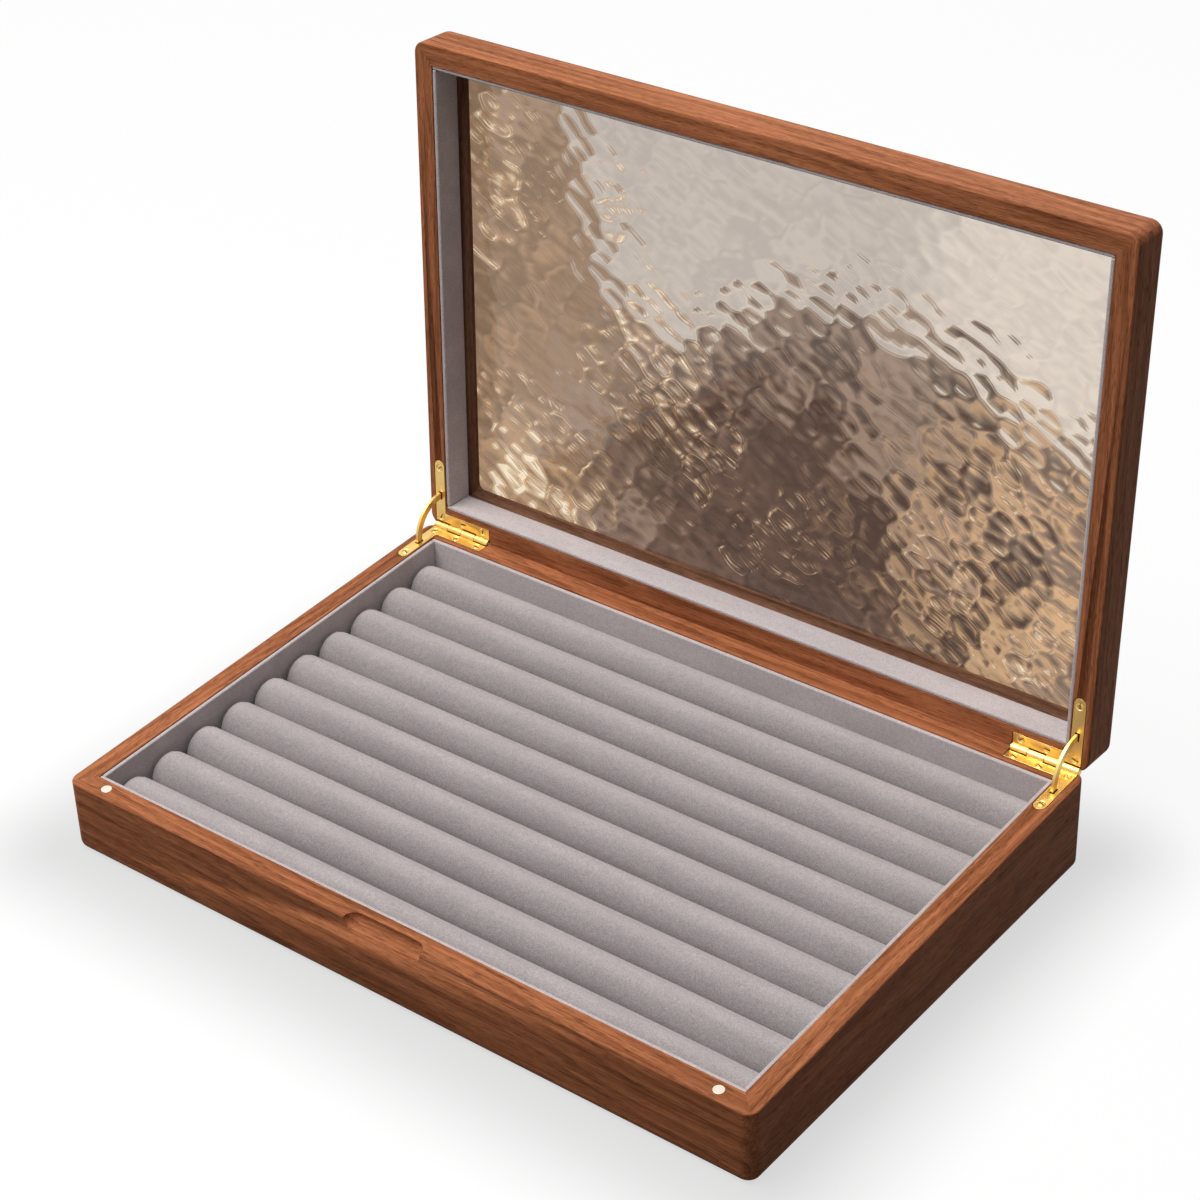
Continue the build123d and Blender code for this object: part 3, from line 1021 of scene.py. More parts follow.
    def _away(self, graph: Graph, place: Socket, point: tuple[float, float]) -> Socket:
        """Distance of a place on the pane from a point of it."""
        return graph.measure("DISTANCE", place, (*point, 0.0))


@dataclass
class Finishes:
    """Every finish of the box, made once."""

    sizes: BoxSizes
    walnut: WalnutFinish = field(init=False)
    velvet: VelvetFinish = field(init=False)
    brass: MetalFinish = field(init=False)
    nickel: MetalFinish = field(init=False)
    glass: BronzeGlassFinish = field(init=False)

    def __post_init__(self) -> None:
        """Builds the shared groups and the finishes that use them."""
        marks = PolishMarks().group()
        self.walnut = WalnutFinish(WalnutFigure().group(), self.sizes)
        self.velvet = VelvetFinish(VelvetNap().group())
        self.brass = MetalFinish(marks, (0.90, 0.63, 0.22), (0.72, 0.45, 0.12), 0.2, 0.3)
        self.nickel = MetalFinish(marks, (0.74, 0.67, 0.57), (0.56, 0.48, 0.40), 0.35, 0.4)
        self.glass = BronzeGlassFinish(HammeredSurface().group("ShaderNodeTree"))


# ---- Meshes ------------------------------------------------------------------------------------

WELD_DISTANCE = 2e-6
FLAT_ANGLE = math.radians(0.5)
SMOOTH_ANGLE = math.radians(32.0)
EASED_ANGLE = math.radians(38.0)


def finished_mesh(work: bmesh.types.BMesh, name: str) -> bpy.types.Mesh:
    """New mesh from a working mesh, which is freed."""
    mesh = bpy.data.meshes.new(name)
    work.to_mesh(mesh)
    work.free()
    return mesh


def in_scene(name: str, data: bpy.types.ID) -> bpy.types.Object:
    """New object in the scene's collection."""
    item = bpy.data.objects.new(name, data)
    bpy.context.scene.collection.objects.link(item)
    return item


def evaluated(item: bpy.types.Object) -> bpy.types.Mesh:
    """Plain mesh of an object as its modifiers make it."""
    seen = item.evaluated_get(bpy.context.evaluated_depsgraph_get())
    return bpy.data.meshes.new_from_object(seen)


def place_mesh(
    mesh: bpy.types.Mesh, name: str, body: str, slot: str, *nodes: str
) -> bpy.types.Object:
    """Makes a mesh a piece of the box that stands for some CAD nodes.

    Args:
        mesh: the finished mesh, in place.
        name: the piece's name.
        body: the body it moves with.
        slot: the record's material slot; not used.
        *nodes: the CAD nodes it stands for.

    Returns:
        The new object.
    """
    piece = in_scene(name, mesh)
    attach(piece, body)
    if nodes:
        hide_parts(*nodes)
    log.info("%s: %d faces, with %s", name, len(mesh.polygons), body)
    return piece


def smooth(mesh: bpy.types.Mesh, angle: float = SMOOTH_ANGLE) -> None:
    """Shades a mesh smooth, with sharp edges where faces meet at more than an angle."""
    mesh.shade_smooth()
    mesh.set_sharp_from_angle(angle=angle)


def merged_copy(node: str) -> bpy.types.Mesh:
    """Copy of a CAD node's mesh with its loose triangles joined and its flat faces whole.

    Args:
        node: the CAD node.

    Returns:
        The new mesh.
    """
    work = bmesh.new()
    work.from_mesh(bpy.data.objects[node].data)
    bmesh.ops.remove_doubles(work, verts=work.verts, dist=WELD_DISTANCE)
    bmesh.ops.dissolve_limit(work, angle_limit=FLAT_ANGLE, verts=work.verts, edges=work.edges)
    return finished_mesh(work, node)


def dressed_copy(
    node: str,
    name: str,
    body: str,
    slot: str,
    material: bpy.types.Material,
    edge: float = 0.0,
    segments: int = 2,
) -> None:
    """Makes a piece in the shape of a CAD node, with its edges eased and its curves smooth.

    Args:
        node: the CAD node it stands for.
        name: the piece's name.
        body: the body it moves with.
        slot: the record's material slot.
        material: its material.
        edge: width of the eased edge, in metres; 0 leaves the edges as they are.
        segments: steps across the eased edge.
    """
    mesh = merged_copy(node)
    mesh.materials.clear()
    mesh.materials.append(material)
    smooth(mesh)
    piece = place_mesh(mesh, name, body, slot, node)
    if edge > 0:
        ease = piece.modifiers.new("eased edges", "BEVEL")
        ease.width = edge
        ease.segments = segments
        ease.limit_method = "ANGLE"
        ease.angle_limit = EASED_ANGLE
        ease.use_clamp_overlap = False
        ease.miter_outer = "MITER_ARC"
        ease.harden_normals = True


def grown(
    mesh: bpy.types.Mesh, tree: bpy.types.NodeTree, values: dict[str, object]
) -> bpy.types.Mesh:
    """Runs a Geometry Nodes tree on a mesh and returns the plain result.

    Args:
        mesh: what the tree starts from.
        tree: the tree.
        values: its input values by socket name.

    Returns:
        The new mesh.
    """
    carrier = in_scene(tree.name, mesh)
    modifier = carrier.modifiers.new(tree.name, "NODES")
    modifier.node_group = tree
    for item in tree.interface.items_tree:
        if item.in_out == "INPUT" and item.name in values:
            modifier[item.identifier] = values[item.name]
    carrier.update_tag()
    result = evaluated(carrier)
    carrier.modifiers.remove(modifier)
    bpy.data.objects.remove(carrier)
    return result


def final_geometry(graph: GroupGraph, geometry: Socket, material: Socket) -> Socket:
    """Geometry of a tree, made real and given its material."""
    real = graph.result("GeometryNodeRealizeInstances", {"Geometry": geometry})
    return graph.result("GeometryNodeSetMaterial", {"Geometry": real, "Material": material})


def coordinates(mesh: bpy.types.Mesh) -> np.ndarray:
    """Coordinates of a mesh's vertices as an array of rows."""
    values = np.empty(len(mesh.vertices) * 3)
    mesh.vertices.foreach_get("co", values)
    return values.reshape(-1, 3)


def part_of(mesh: bpy.types.Mesh, first: int, count: int) -> bpy.types.Mesh:
    """Mesh of some neighbouring faces of a larger mesh.

    Args:
        mesh: the larger mesh.
        first: number of the first face.
        count: how many faces.

    Returns:
        The new mesh, with the material of the first of those faces.
    """
    points = coordinates(mesh)
    faces = [tuple(mesh.polygons[i].vertices) for i in range(first, first + count)]
    used = sorted({i for face in faces for i in face})
    number = {old: new for new, old in enumerate(used)}
    part = bpy.data.meshes.new("part")
    part.from_pydata(points[used].tolist(), [], [[number[i] for i in face] for face in faces])
    part.materials.append(mesh.materials[mesh.polygons[first].material_index])
    return part


# ---- Case and lid frames -----------------------------------------------------------------------


@dataclass
class WoodFrame:
    """Four mitred rails round the case or the lid."""

    body: str
    prefix: str
    upright: Grain
    finishes: Finishes
    hearts: dict[str, Point]

    def build(self) -> None:
        """Dresses the rails."""
        for side, heart in self.hearts.items():
            grain = Grain.ACROSS if side in ("front", "back") else self.upright
            material = self.finishes.walnut.material(
                f"{self.prefix} {side} walnut", grain, heart, in_lid=self.body == "lid"
            )
            rail, board = f"{self.prefix}_{side}_rail", f"{self.prefix}_{side}_board"
            dressed_copy(rail, board, self.body, "walnut", material)


@dataclass
class JointBead:
    """Hair-thin dark bead along the pins: painted shade that closes the joint between the rims."""

    sizes: BoxSizes
    length: float = 0.208
    radius: float = 0.0000195
    sides: int = 8
    colour: Colour = (0.02, 0.009, 0.005)
    roughness: float = 0.9

    def build(self) -> None:
        """Lays the bead along the axis of the pins."""
        # Painted shade: a dark bead stands in for the shade in the slit between the rims.
        graph = MaterialGraph("dark wax")
        graph.shade({"Base Color": self.colour, "Roughness": self.roughness})
        at_pins = Matrix.Translation((0, self.sizes.depth / 2, self.sizes.back_height))
        work = bmesh.new()
        bmesh.ops.create_cone(
            work,
            cap_ends=True,
            segments=self.sides,
            radius1=self.radius,
            radius2=self.radius,
            depth=self.length,
            matrix=at_pins @ Matrix.Rotation(math.pi / 2, 4, "Y"),
        )
        mesh = finished_mesh(work, "joint bead")
        mesh.materials.append(graph.material)
        place_mesh(mesh, "joint_bead", "case", "walnut")


@dataclass
class CasePanel:
    """Walnut-faced board under the tray."""

    finishes: Finishes
    heart: Point = (0.03, 0.11, 0.09)
    ring_depth: float = 0.25
    edge: float = 0.0003

    def build(self) -> None:
        """Dresses the panel."""
        veneer = self.finishes.walnut.material(
            "panel veneer", Grain.ACROSS, self.heart, self.ring_depth
        )
        dressed_copy("base_panel", "case_panel", "case", "panel_board", veneer, self.edge)


# ---- Velvet ------------------------------------------------------------------------------------

FOLD_STEPS = 3


@dataclass
class Liners:
    """Velvet-covered boards round the case or the lid."""

    body: str
    prefix: str
    material: bpy.types.Material
    fold_radius: float = 0.00042

    def build(self) -> None:
        """Wraps the four boards."""
        for side in ("front", "back", "left", "right"):
            dressed_copy(
                f"{self.prefix}_{side}_liner",
                f"{self.prefix}_{side}_lining",
                self.body,
                "velvet_board",
                self.material,
                self.fold_radius,
                FOLD_STEPS,
            )


@dataclass
class RollTray:
    """Ten foam rolls covered in velvet, on their wedge.

    The cloth simulation of a roll works at work_scale times its size.
    """

    sizes: BoxSizes
    material: bpy.types.Material
    count: int = 10
    height: float = 0.0115
    drop: float = 0.0045
    gap: float = 0.00015
    clearance: float = 0.00015
    end_radius: float = 0.0016
    end_steps: int = 6
    section_steps: int = 14
    inset: float = 0.00022
    work_scale: float = 4.0
    voxel: float = 0.0046
    pressure: float = 4.0
    quality: int = 5
    frames: int = 20
    most_swell: float = 0.00028
    smoothing_rounds: int = 2
    smooth_angle: float = math.radians(60.0)
    unevenness: float = 0.00008
    wave_scale: float = 46.0
    wave_middle: float = 0.62
    wave_shift: float = 0.37
    seed: int = 4
    wedge_edge: float = 0.0004

    @property
    def bed_level(self) -> float:
        """Height of the bed in the rim's frame."""
        return -self.sizes.seam_gap / 2 - self.drop - self.height

    def _from_pins(self, from_back: float, level: float) -> float:
        """Y in the rim's frame of a point at a distance from the back and a level under the rim."""
        tilt = self.sizes.slope
        return (from_back - level * math.sin(tilt)) / math.cos(tilt)

    @property
    def row(self) -> tuple[float, float]:
        """First and last Y of the row of rolls in the rim's frame."""
        inset = self.sizes.wall + self.sizes.liner_thickness
        first = self._from_pins(inset, self.bed_level)
        last = self._from_pins(self.sizes.depth - inset, self.bed_level + self.height)
        return first + self.clearance, last - self.clearance

    @property
    def pitch(self) -> float:
        """Distance from one roll to the next."""
        first, last = self.row
        return (last - first) / self.count

    @property
    def roll_width(self) -> float:
        """Width of one roll."""
        return self.pitch - self.gap

    @property
    def roll_length(self) -> float:
        """Length of one roll."""
        sizes = self.sizes
        return sizes.width - 2 * (sizes.wall + sizes.liner_thickness + self.clearance)

    def foam(self) -> bpy.types.Mesh:
        """One roll before its velvet is stretched: half round on straight flanks, rounded ends.

        Returns:
            The mesh, along X, standing on Z = 0.
        """
        half = self.roll_width / 2 - self.inset
        top = self.height - self.inset
        flank = self.height - self.roll_width / 2
        section = [(-half, self.inset), (half, self.inset)]
        for i in range(self.section_steps + 1):
            turn = math.pi * i / self.section_steps
            section.append((half * math.cos(turn), flank + (top - flank) * math.sin(turn)))
        reach = self.roll_length / 2 - self.inset
        stations = []
        for i in range(self.end_steps + 1):
            turn = math.pi / 2 * i / self.end_steps
            back = self.end_radius * (1 - math.sin(turn))
            stations.append((reach - self.end_radius * (1 - math.cos(turn)), back))
        ends = [(-x, back) for x, back in stations] + stations[::-1]
        middle = (top + self.inset) / 2
        work = bmesh.new()
        rings = []
        for x, back in ends:
            share_y = (half - back) / half
            share_z = (top - middle - back) / (top - middle)
            places = [(x, y * share_y, middle + (z - middle) * share_z) for y, z in section]
            rings.append([work.verts.new(place) for place in places])
        for a, b in zip(rings, rings[1:]):
            for i in range(len(section)):
                j = (i + 1) % len(section)
                work.faces.new((a[i], a[j], b[j], b[i]))
        work.faces.new(rings[0][::-1])
        work.faces.new(rings[-1])
        bmesh.ops.recalc_face_normals(work, faces=work.faces)
        return finished_mesh(work, "roll foam")

    def covered(self, foam: bpy.types.Mesh) -> bpy.types.Mesh:
        """Swells one roll under its velvet with a short cloth simulation.

        Args:
            foam: the roll before it swells.

        Returns:
            The roll's final mesh.
        """
        mesh = foam.copy()
        mesh.transform(Matrix.Scale(self.work_scale, 4))
        carrier = in_scene("roll cover", mesh)
        remesh = carrier.modifiers.new("even mesh", "REMESH")
        remesh.mode = "VOXEL"
        remesh.voxel_size = self.voxel
        carrier.data = evaluated(carrier)
        carrier.modifiers.clear()
        points = coordinates(carrier.data)
        points = points + self._swell(carrier, points)
        points = points / self.work_scale
        points[:, 0] = np.clip(points[:, 0], -self.roll_length / 2, self.roll_length / 2)
        points[:, 1] = np.clip(points[:, 1], -self.roll_width / 2, self.roll_width / 2)
        points[:, 2] = np.clip(points[:, 2], 0.0, self.height)
        result = carrier.data.copy()
        result.vertices.foreach_set("co", points.astype(np.float32).ravel())
        bpy.data.objects.remove(carrier)
        work = bmesh.new()
        work.from_mesh(result)
        axes = {"use_axis_x": True, "use_axis_y": True, "use_axis_z": True}
        for _ in range(self.smoothing_rounds):
            bmesh.ops.smooth_vert(work, verts=work.verts, factor=0.5, **axes)
        bmesh.ops.recalc_face_normals(work, faces=work.faces)
        work.to_mesh(result)
        work.free()
        return result

    def _swell(self, carrier: bpy.types.Object, before: np.ndarray) -> np.ndarray:
        """Runs the cloth simulation on a roll.

        Args:
            carrier: the roll, at the scale of the simulation.
            before: its points.

        Returns:
            How far each point moves, within the most that it may.
        """
        scene = bpy.context.scene
        cloth = carrier.modifiers.new("velvet", "CLOTH")
        cloth.settings.quality = self.quality
        cloth.settings.use_pressure = True
        cloth.settings.uniform_pressure_force = self.pressure
        cloth.settings.effector_weights.gravity = 0.0
        for frame in range(1, self.frames + 1):
            scene.frame_set(frame)
        move = coordinates(evaluated(carrier)) - before
        carrier.modifiers.clear()
        scene.frame_set(1)
        move -= move.mean(axis=0)
        far = np.linalg.norm(move, axis=1, keepdims=True)
        cap = self.most_swell * self.work_scale
        return move * np.minimum(1.0, cap / np.maximum(far, NEARLY_ZERO))

    def row_tree(self) -> bpy.types.NodeTree:
        """Geometry Nodes tree that lays copies of one roll side by side.

        Returns:
            The tree. It numbers the rolls in the attribute roll_number.
        """
        graph = GroupGraph(
            "Roll Row",
            "GeometryNodeTree",
            {
                "Roll": GEOMETRY,
                "Count": self.count,
                "Pitch": self.pitch,
                "Start": 0.0,
                "Level": 0.0,
                "Unevenness": self.unevenness,
                "Seed": self.seed,
                "Velvet": MATERIAL,
            },
            {"Rolls": GEOMETRY},
        )
        source = graph.source
        start = graph.combine(0.0, source["Start"], source["Level"])
        step = graph.combine(0.0, graph.times(source["Pitch"], -1.0), 0.0)
        line = graph.result(
            "GeometryNodeMeshLine",
            {"Count": source["Count"], "Start Location": start, "Offset": step},
        )
        points = graph.result(
            "GeometryNodeStoreNamedAttribute",
            {
                "Geometry": line,
                "Name": "roll_number",
                "Value": graph.result("GeometryNodeInputIndex"),
            },
            data_type="INT",
            domain="POINT",
        )
        laid = {"Points": points, "Instance": source["Roll"]}
        copies = graph.result("GeometryNodeInstanceOnPoints", laid)
        real = graph.result("GeometryNodeRealizeInstances", {"Geometry": copies})
        number = graph.result(
            "GeometryNodeInputNamedAttribute", {"Name": "roll_number"}, data_type="INT"
        )
        place = graph.result("GeometryNodeInputPosition")
        shift = graph.combine(graph.times(number, self.wave_shift), 0.0, 0.0)
        wave = graph.result(
            "ShaderNodeTexNoise",
            {
                "Vector": graph.vector("ADD", place, shift),
                "W": graph.plus(source["Seed"], number),
                "Scale": self.wave_scale,
                "Detail": 2.0,
            },
            noise_dimensions="4D",
        )
        most = graph.times(2.0, source["Unevenness"])
        lift = graph.combine(0.0, 0.0, graph.times(graph.minus(wave, self.wave_middle), most))
        moved = graph.result("GeometryNodeSetPosition", {"Geometry": real, "Offset": lift})
        return graph.finished({"Rolls": final_geometry(graph, moved, source["Velvet"])})

    def build(self) -> None:
        """Makes the row, and a piece of each roll and of the wedge under them."""
        roll = self.covered(self.foam())
        faces = len(roll.polygons)
        row = grown(
            roll,
            self.row_tree(),
            {
                "Count": self.count,
                "Pitch": self.pitch,
                "Start": self.row[1] - self.pitch / 2,
                "Level": self.bed_level,
                "Unevenness": self.unevenness,
                "Seed": self.seed,
                "Velvet": self.material,
            },
        )
        row.transform(self.sizes.case_rim())
        for number in range(self.count):
            mesh = part_of(row, faces * number, faces)
            smooth(mesh, self.smooth_angle)
            name, node = f"velvet_roll_{number + 1:02d}", f"ring_roll_{number + 1:02d}"
            piece = place_mesh(mesh, name, "case", "velvet_roll", node)
        dressed_copy(
            "roll_bed", "tray_wedge", "case", "bed_foam", self.material, self.wedge_edge, FOLD_STEPS
        )


# ---- Glazing -----------------------------------------------------------------------------------


@dataclass
class HammeredPane:
    """Bronze glass pane, hammered on its inner face.

    The dimples are sunk from highest, in millimetres, so that nothing stands proud of the pane.
    """

    sizes: BoxSizes
    material: bpy.types.Material
    thickness: float = 0.002
    recess: float = 0.0002
    corner_radius: float = 0.0044
    spacing: float = 0.00056
    highest: float = 0.27
    plain_edge: float = 0.002

    def slab(self) -> bpy.types.Mesh:
        """Pane lying flat, with a fine grid on the side that gets the ripples.

        Returns:
            The mesh. The attribute ripple_weight is 1 on the grid and 0 at its edges.
        """
        low, high = self.outline()
        nx, ny = (max(2, round((b - a) / self.spacing)) + 1 for a, b in zip(low, high))
        gx, gy = np.meshgrid(np.linspace(low[0], high[0], nx), np.linspace(low[1], high[1], ny))
        centre = (np.array(low) + np.array(high)) / 2
        half = (np.array(high) - np.array(low)) / 2
        radius = self.corner_radius
        out = np.stack([gx.ravel(), gy.ravel()], axis=1) - centre
        over = np.maximum(np.abs(out) - (half - radius), 0.0)
        away = np.linalg.norm(over, axis=1)
        pull = np.where(away > radius, radius / np.maximum(away, NEARLY_ZERO), 1.0)[:, None]
        out = np.sign(out) * (np.minimum(np.abs(out), half - radius) + over * pull)
        points = centre + out
        at = np.arange(nx * ny).reshape(ny, nx)
        quads = np.stack([at[:-1, :-1], at[:-1, 1:], at[1:, 1:], at[1:, :-1]], axis=-1)
        faces = quads.reshape(-1, 4).tolist()
        loop = [*at[0, :], *at[1:, -1], *at[-1, -2::-1], *at[-2:0:-1, 0]]
        under = {top: nx * ny + i for i, top in enumerate(loop)}
        for a, b in zip(loop, loop[1:] + loop[:1]):
            faces.append([int(b), int(a), under[a], under[b]])
        faces.append([under[a] for a in reversed(loop)])
        upper = [(x, y, 0.0) for x, y in points]
        lower = [(*points[a], -self.thickness) for a in loop]
        mesh = bpy.data.meshes.new("pane")
        mesh.from_pydata(upper + lower, [], faces)
        weight = np.zeros(len(mesh.vertices), np.float32)
        from_edge = (half - np.abs(points - centre)).min(axis=1)
        weight[: len(points)] = np.clip(from_edge / self.plain_edge, 0.0, 1.0)
        mesh.attributes.new("ripple_weight", "FLOAT", "POINT").data.foreach_set("value", weight)
        return mesh

    def outline(self) -> tuple[tuple[float, float], tuple[float, float]]:
        """Bounds of the CAD pane.

        Returns:
            Its lowest and highest corner in the lid rim's X and Y.
        """
        box_low, box_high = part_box("glass_pane")
        half_x = (box_high.x - box_low.x) / 2
        back = self.sizes.lid_rim().inverted()
        levels = (box_low.z, box_high.z)
        corners = [back @ Vector((0, y, z)) for y in (box_low.y, box_high.y) for z in levels]
        middle = sum(c.y for c in corners) / len(corners)
        height = box_high.z - box_low.z
        rise = math.sin(self.sizes.lid_angle)
        lean = abs(math.cos(self.sizes.lid_angle))
        half_y = (height - lean * self.thickness) / rise / 2
        return (-half_x, middle - half_y), (half_x, middle + half_y)

    def hammer_tree(self) -> bpy.types.NodeTree:
        """Geometry Nodes tree that presses the dimples into the pane's inner face.

        Returns:
            The tree. It keeps each point's place on the flat pane as an attribute.
        """
        graph = GroupGraph(
            "Hammered Face",
            "GeometryNodeTree",
            {
                "Pane": GEOMETRY,
                "Millimetre": MILLIMETRE,
                "Highest": self.highest,
                "Glass": MATERIAL,
            },
            {"Pane": GEOMETRY},
        )
        source = graph.source
        place = graph.result("GeometryNodeInputPosition")
        kept = graph.result(
            "GeometryNodeStoreNamedAttribute",
            {"Geometry": source["Pane"], "Name": "pane_place", "Value": place},
            data_type="FLOAT_VECTOR",
            domain="POINT",
        )
        dimples = HammeredSurface().group("GeometryNodeTree")
        height = graph.result("GeometryNodeGroup", {"Place": place}, node_tree=dimples)
        weight = graph.result(
            "GeometryNodeInputNamedAttribute", {"Name": "ripple_weight"}, data_type="FLOAT"
        )
        sunk = graph.times(
            graph.math("MINIMUM", graph.minus(height, source["Highest"]), 0.0),
            graph.times(weight, source["Millimetre"]),
        )
        offset = graph.combine(0.0, 0.0, sunk)
        pressed = graph.result("GeometryNodeSetPosition", {"Geometry": kept, "Offset": offset})
        return graph.finished({"Pane": final_geometry(graph, pressed, source["Glass"])})

    def build(self) -> None:
        """Makes the pane."""
        mesh = grown(
            self.slab(),
            self.hammer_tree(),
            {"Millimetre": MILLIMETRE, "Highest": self.highest, "Glass": self.material},
        )
        outer_face = -self.sizes.seam_gap / 2 - self.sizes.lid_thickness + self.recess
        inner_face = outer_face + self.thickness
        mesh.transform(self.sizes.lid_rim() @ Matrix.Translation((0, 0, inner_face)))
        smooth(mesh)
        place_mesh(mesh, "hammered_pane", "lid", "rippled_glass", "glass_pane")


# ---- Hinges and magnets ------------------------------------------------------------------------


@dataclass
class QuadrantHinges:
    """Brass leaves, pins and stays of both hinges, with their screws.

    The profiles of a screw's head and tip are shares of the head's and the shank's radius.
    """

    sizes: BoxSizes
    material: bpy.types.Material
    leaf_edge: float = 0.00007
    leaf_margin: float = 0.0021
    back_arm_length: float = 0.020
    back_arm_width: float = 0.0044
    case_arm_length: float = 0.0185
    lid_arm_length: float = 0.0215
    side_arm_width: float = 0.0035
    barrel_relief: float = 0.0015
    screw_edge: float = 0.0024
    head_radius: float = 0.0011
    head_depth: float = 0.00026
    shank_radius: float = 0.00055
    screw_length: float = 0.005
    screw_sides: int = 28
    slot_reach: float = 2.4
    slot_width: float = 0.00034
    slot_depth: float = 0.0003
    case_seed: int = 3
    lid_seed: int = 8
    head_profile: tuple[tuple[float, float], ...] = ((0.0, 0.00002), (0.45, 0.00004), (0.8, 0.00011))
    tip_profile: tuple[tuple[float, float], ...] = ((1.0, 1.0), (0.4, 0.25), (0.0, 0.0))

    def screw_places(self, arm_length: float) -> list[Vector]:
        """Places of one frame's eight screws.

        Args:
            arm_length: length of the leaves' side arms.

        Returns:
            The places in the frame's rim.
        """
        barrel_end = self.sizes.width / 2 - self.leaf_margin
        arm = barrel_end - self.side_arm_width / 2
        back = (self.barrel_relief + self.back_arm_width) / 2
        places = [
            (arm, arm_length - self.screw_edge),
            (arm, back),
            (barrel_end - self.back_arm_length / 2, back),
            (barrel_end - self.back_arm_length + self.screw_edge, back),
        ]
        level = -self.sizes.seam_gap / 2
        return [Vector((side.value * x, y, level)) for side in Side for x, y in places]

    def blank(self) -> bpy.types.Mesh:
        """One countersunk screw with no slot, its head's face in the plane Z = 0.

        Returns:
            The mesh.
        """
        head, shank = self.head_radius, self.shank_radius
        turned = [(head * share, -depth) for share, depth in self.head_profile]
        turned += [(head, -self.head_depth), (shank, -(head - shank) - self.head_depth)]
        turned += [(shank * x, -self.screw_length + shank * z) for x, z in self.tip_profile]
        sides = range(self.screw_sides)
        turns = [2 * math.pi * i / self.screw_sides for i in sides]
        work = bmesh.new()
        rings = []
        for radius, z in turned:
            circle = [(radius * math.cos(turn), radius * math.sin(turn), z) for turn in turns]
            places = circle if radius else [(0, 0, z)]
            rings.append([work.verts.new(place) for place in places])
        for a, b in zip(rings, rings[1:]):
            for i in sides:
                j = (i + 1) % self.screw_sides
                if len(a) == 1:
                    work.faces.new((a[0], b[i], b[j]))
                elif len(b) == 1:
                    work.faces.new((a[j], a[i], b[0]))
                else:
                    work.faces.new((a[j], a[i], b[i], b[j]))
        bmesh.ops.recalc_face_normals(work, faces=work.faces)
        return finished_mesh(work, "screw")

    def screw(self) -> bpy.types.Mesh:
        """One screw with its slot.

        Returns:
            The mesh.
        """
        work = bmesh.new()
        bmesh.ops.create_cube(work, size=1.0)
        reach = self.head_radius * self.slot_reach
        for v in work.verts:
            v.co = (v.co.x * reach, v.co.y * self.slot_width, v.co.z * 2 * self.slot_depth)
        slotted = in_scene("screw", self.blank())
        cutter = in_scene("driver slot", finished_mesh(work, "driver slot"))
        cut = slotted.modifiers.new("slot", "BOOLEAN")
        cut.object = cutter
        cut.operation = "DIFFERENCE"
        cut.solver = "EXACT"
        result = evaluated(slotted)
        bpy.data.objects.remove(slotted)
        bpy.data.objects.remove(cutter)
        return result

    def screw_tree(self) -> bpy.types.NodeTree:
        """Geometry Nodes tree that sets a screw at each point, each turned its own way.

        Returns:
            The tree.
        """
        graph = GroupGraph(
            "Leaf Screws",
            "GeometryNodeTree",
            {
                "Places": GEOMETRY,
                "Screw": OBJECT,
                "Seed": self.case_seed,
                "Most Turn": math.pi,
                "Brass": MATERIAL,
            },
            {"Screws": GEOMETRY},
        )
        source = graph.source
        turn = graph.add(
            "FunctionNodeRandomValue", {"Max": source["Most Turn"], "Seed": source["Seed"]}
        )
        angle = next(s for s in turn.outputs if s.enabled and s.type == "VALUE")
        twist = {"Axis": (0, 0, 1), "Angle": angle}
        screw = {"Object": source["Screw"]}
        set_in = graph.result(
            "GeometryNodeInstanceOnPoints",
            {
                "Points": source["Places"],
                "Instance": graph.result("GeometryNodeObjectInfo", screw, "Geometry"),
                "Rotation": graph.result("FunctionNodeAxisAngleToRotation", twist),
            },
        )
        return graph.finished({"Screws": final_geometry(graph, set_in, source["Brass"])})

    def _dress(self, node: str, body: str) -> None:
        """Dresses one brass node."""
        dressed_copy(node, f"{node}_brass", body, "brass", self.material, self.leaf_edge)

    def build(self) -> None:
        """Dresses the leaves, pins and stays, and sets the screws."""
        for side in ("left", "right"):
            self._dress(f"{side}_base_leaf", "case")
            self._dress(f"{side}_lid_leaf", "lid")
            self._dress(f"{side}_hinge_pin", "case")
            self._dress(f"{side}_stay", f"{side}_stay")
        screw = in_scene("screw", self.screw())
        tree = self.screw_tree()
        for frame, body, rim, arm_length, seed in (
            ("base", "case", self.sizes.case_rim(), self.case_arm_length, self.case_seed),
            ("lid", "lid", self.sizes.lid_rim(), self.lid_arm_length, self.lid_seed),
        ):
            places = bpy.data.meshes.new("screw places")
            places.from_pydata([tuple(p) for p in self.screw_places(arm_length)], [], [])
            mesh = grown(
                places,
                tree,
                {"Screw": screw, "Seed": seed, "Most Turn": math.pi, "Brass": self.material},
            )
            mesh.transform(rim)
            smooth(mesh)
            place_mesh(mesh, f"{frame}_screws", body, "brass", f"{frame}_leaf_screws")
        bpy.data.objects.remove(screw)


@dataclass
class ClosingMagnets:
    """Nickel discs let into the front rims."""

    material: bpy.types.Material
    edge: float = 0.00012

    def build(self) -> None:
        """Dresses the discs."""
        dressed_copy("base_magnets", "case_magnets", "case", "nickel", self.material, self.edge)
        dressed_copy("lid_magnets", "hidden_magnets", "lid", "nickel", self.material, self.edge)


# ---- Studio ------------------------------------------------------------------------------------


@dataclass(frozen=True)
class Lamp:
    """Square soft lamp."""

    name: str
    place: Point
    aim: Point
    size: float
    watts: float
    colour: Colour

    def hang(self) -> None:
        """Hangs the lamp."""
        data = bpy.data.lights.new(self.name, "AREA")
        data.size = self.size
        data.energy = self.watts
        data.color = self.colour
        item = in_scene(self.name, data)
        item.location = self.place
        direction = Vector(self.aim) - Vector(self.place)
        item.rotation_euler = direction.to_track_quat("-Z", "Y").to_euler()


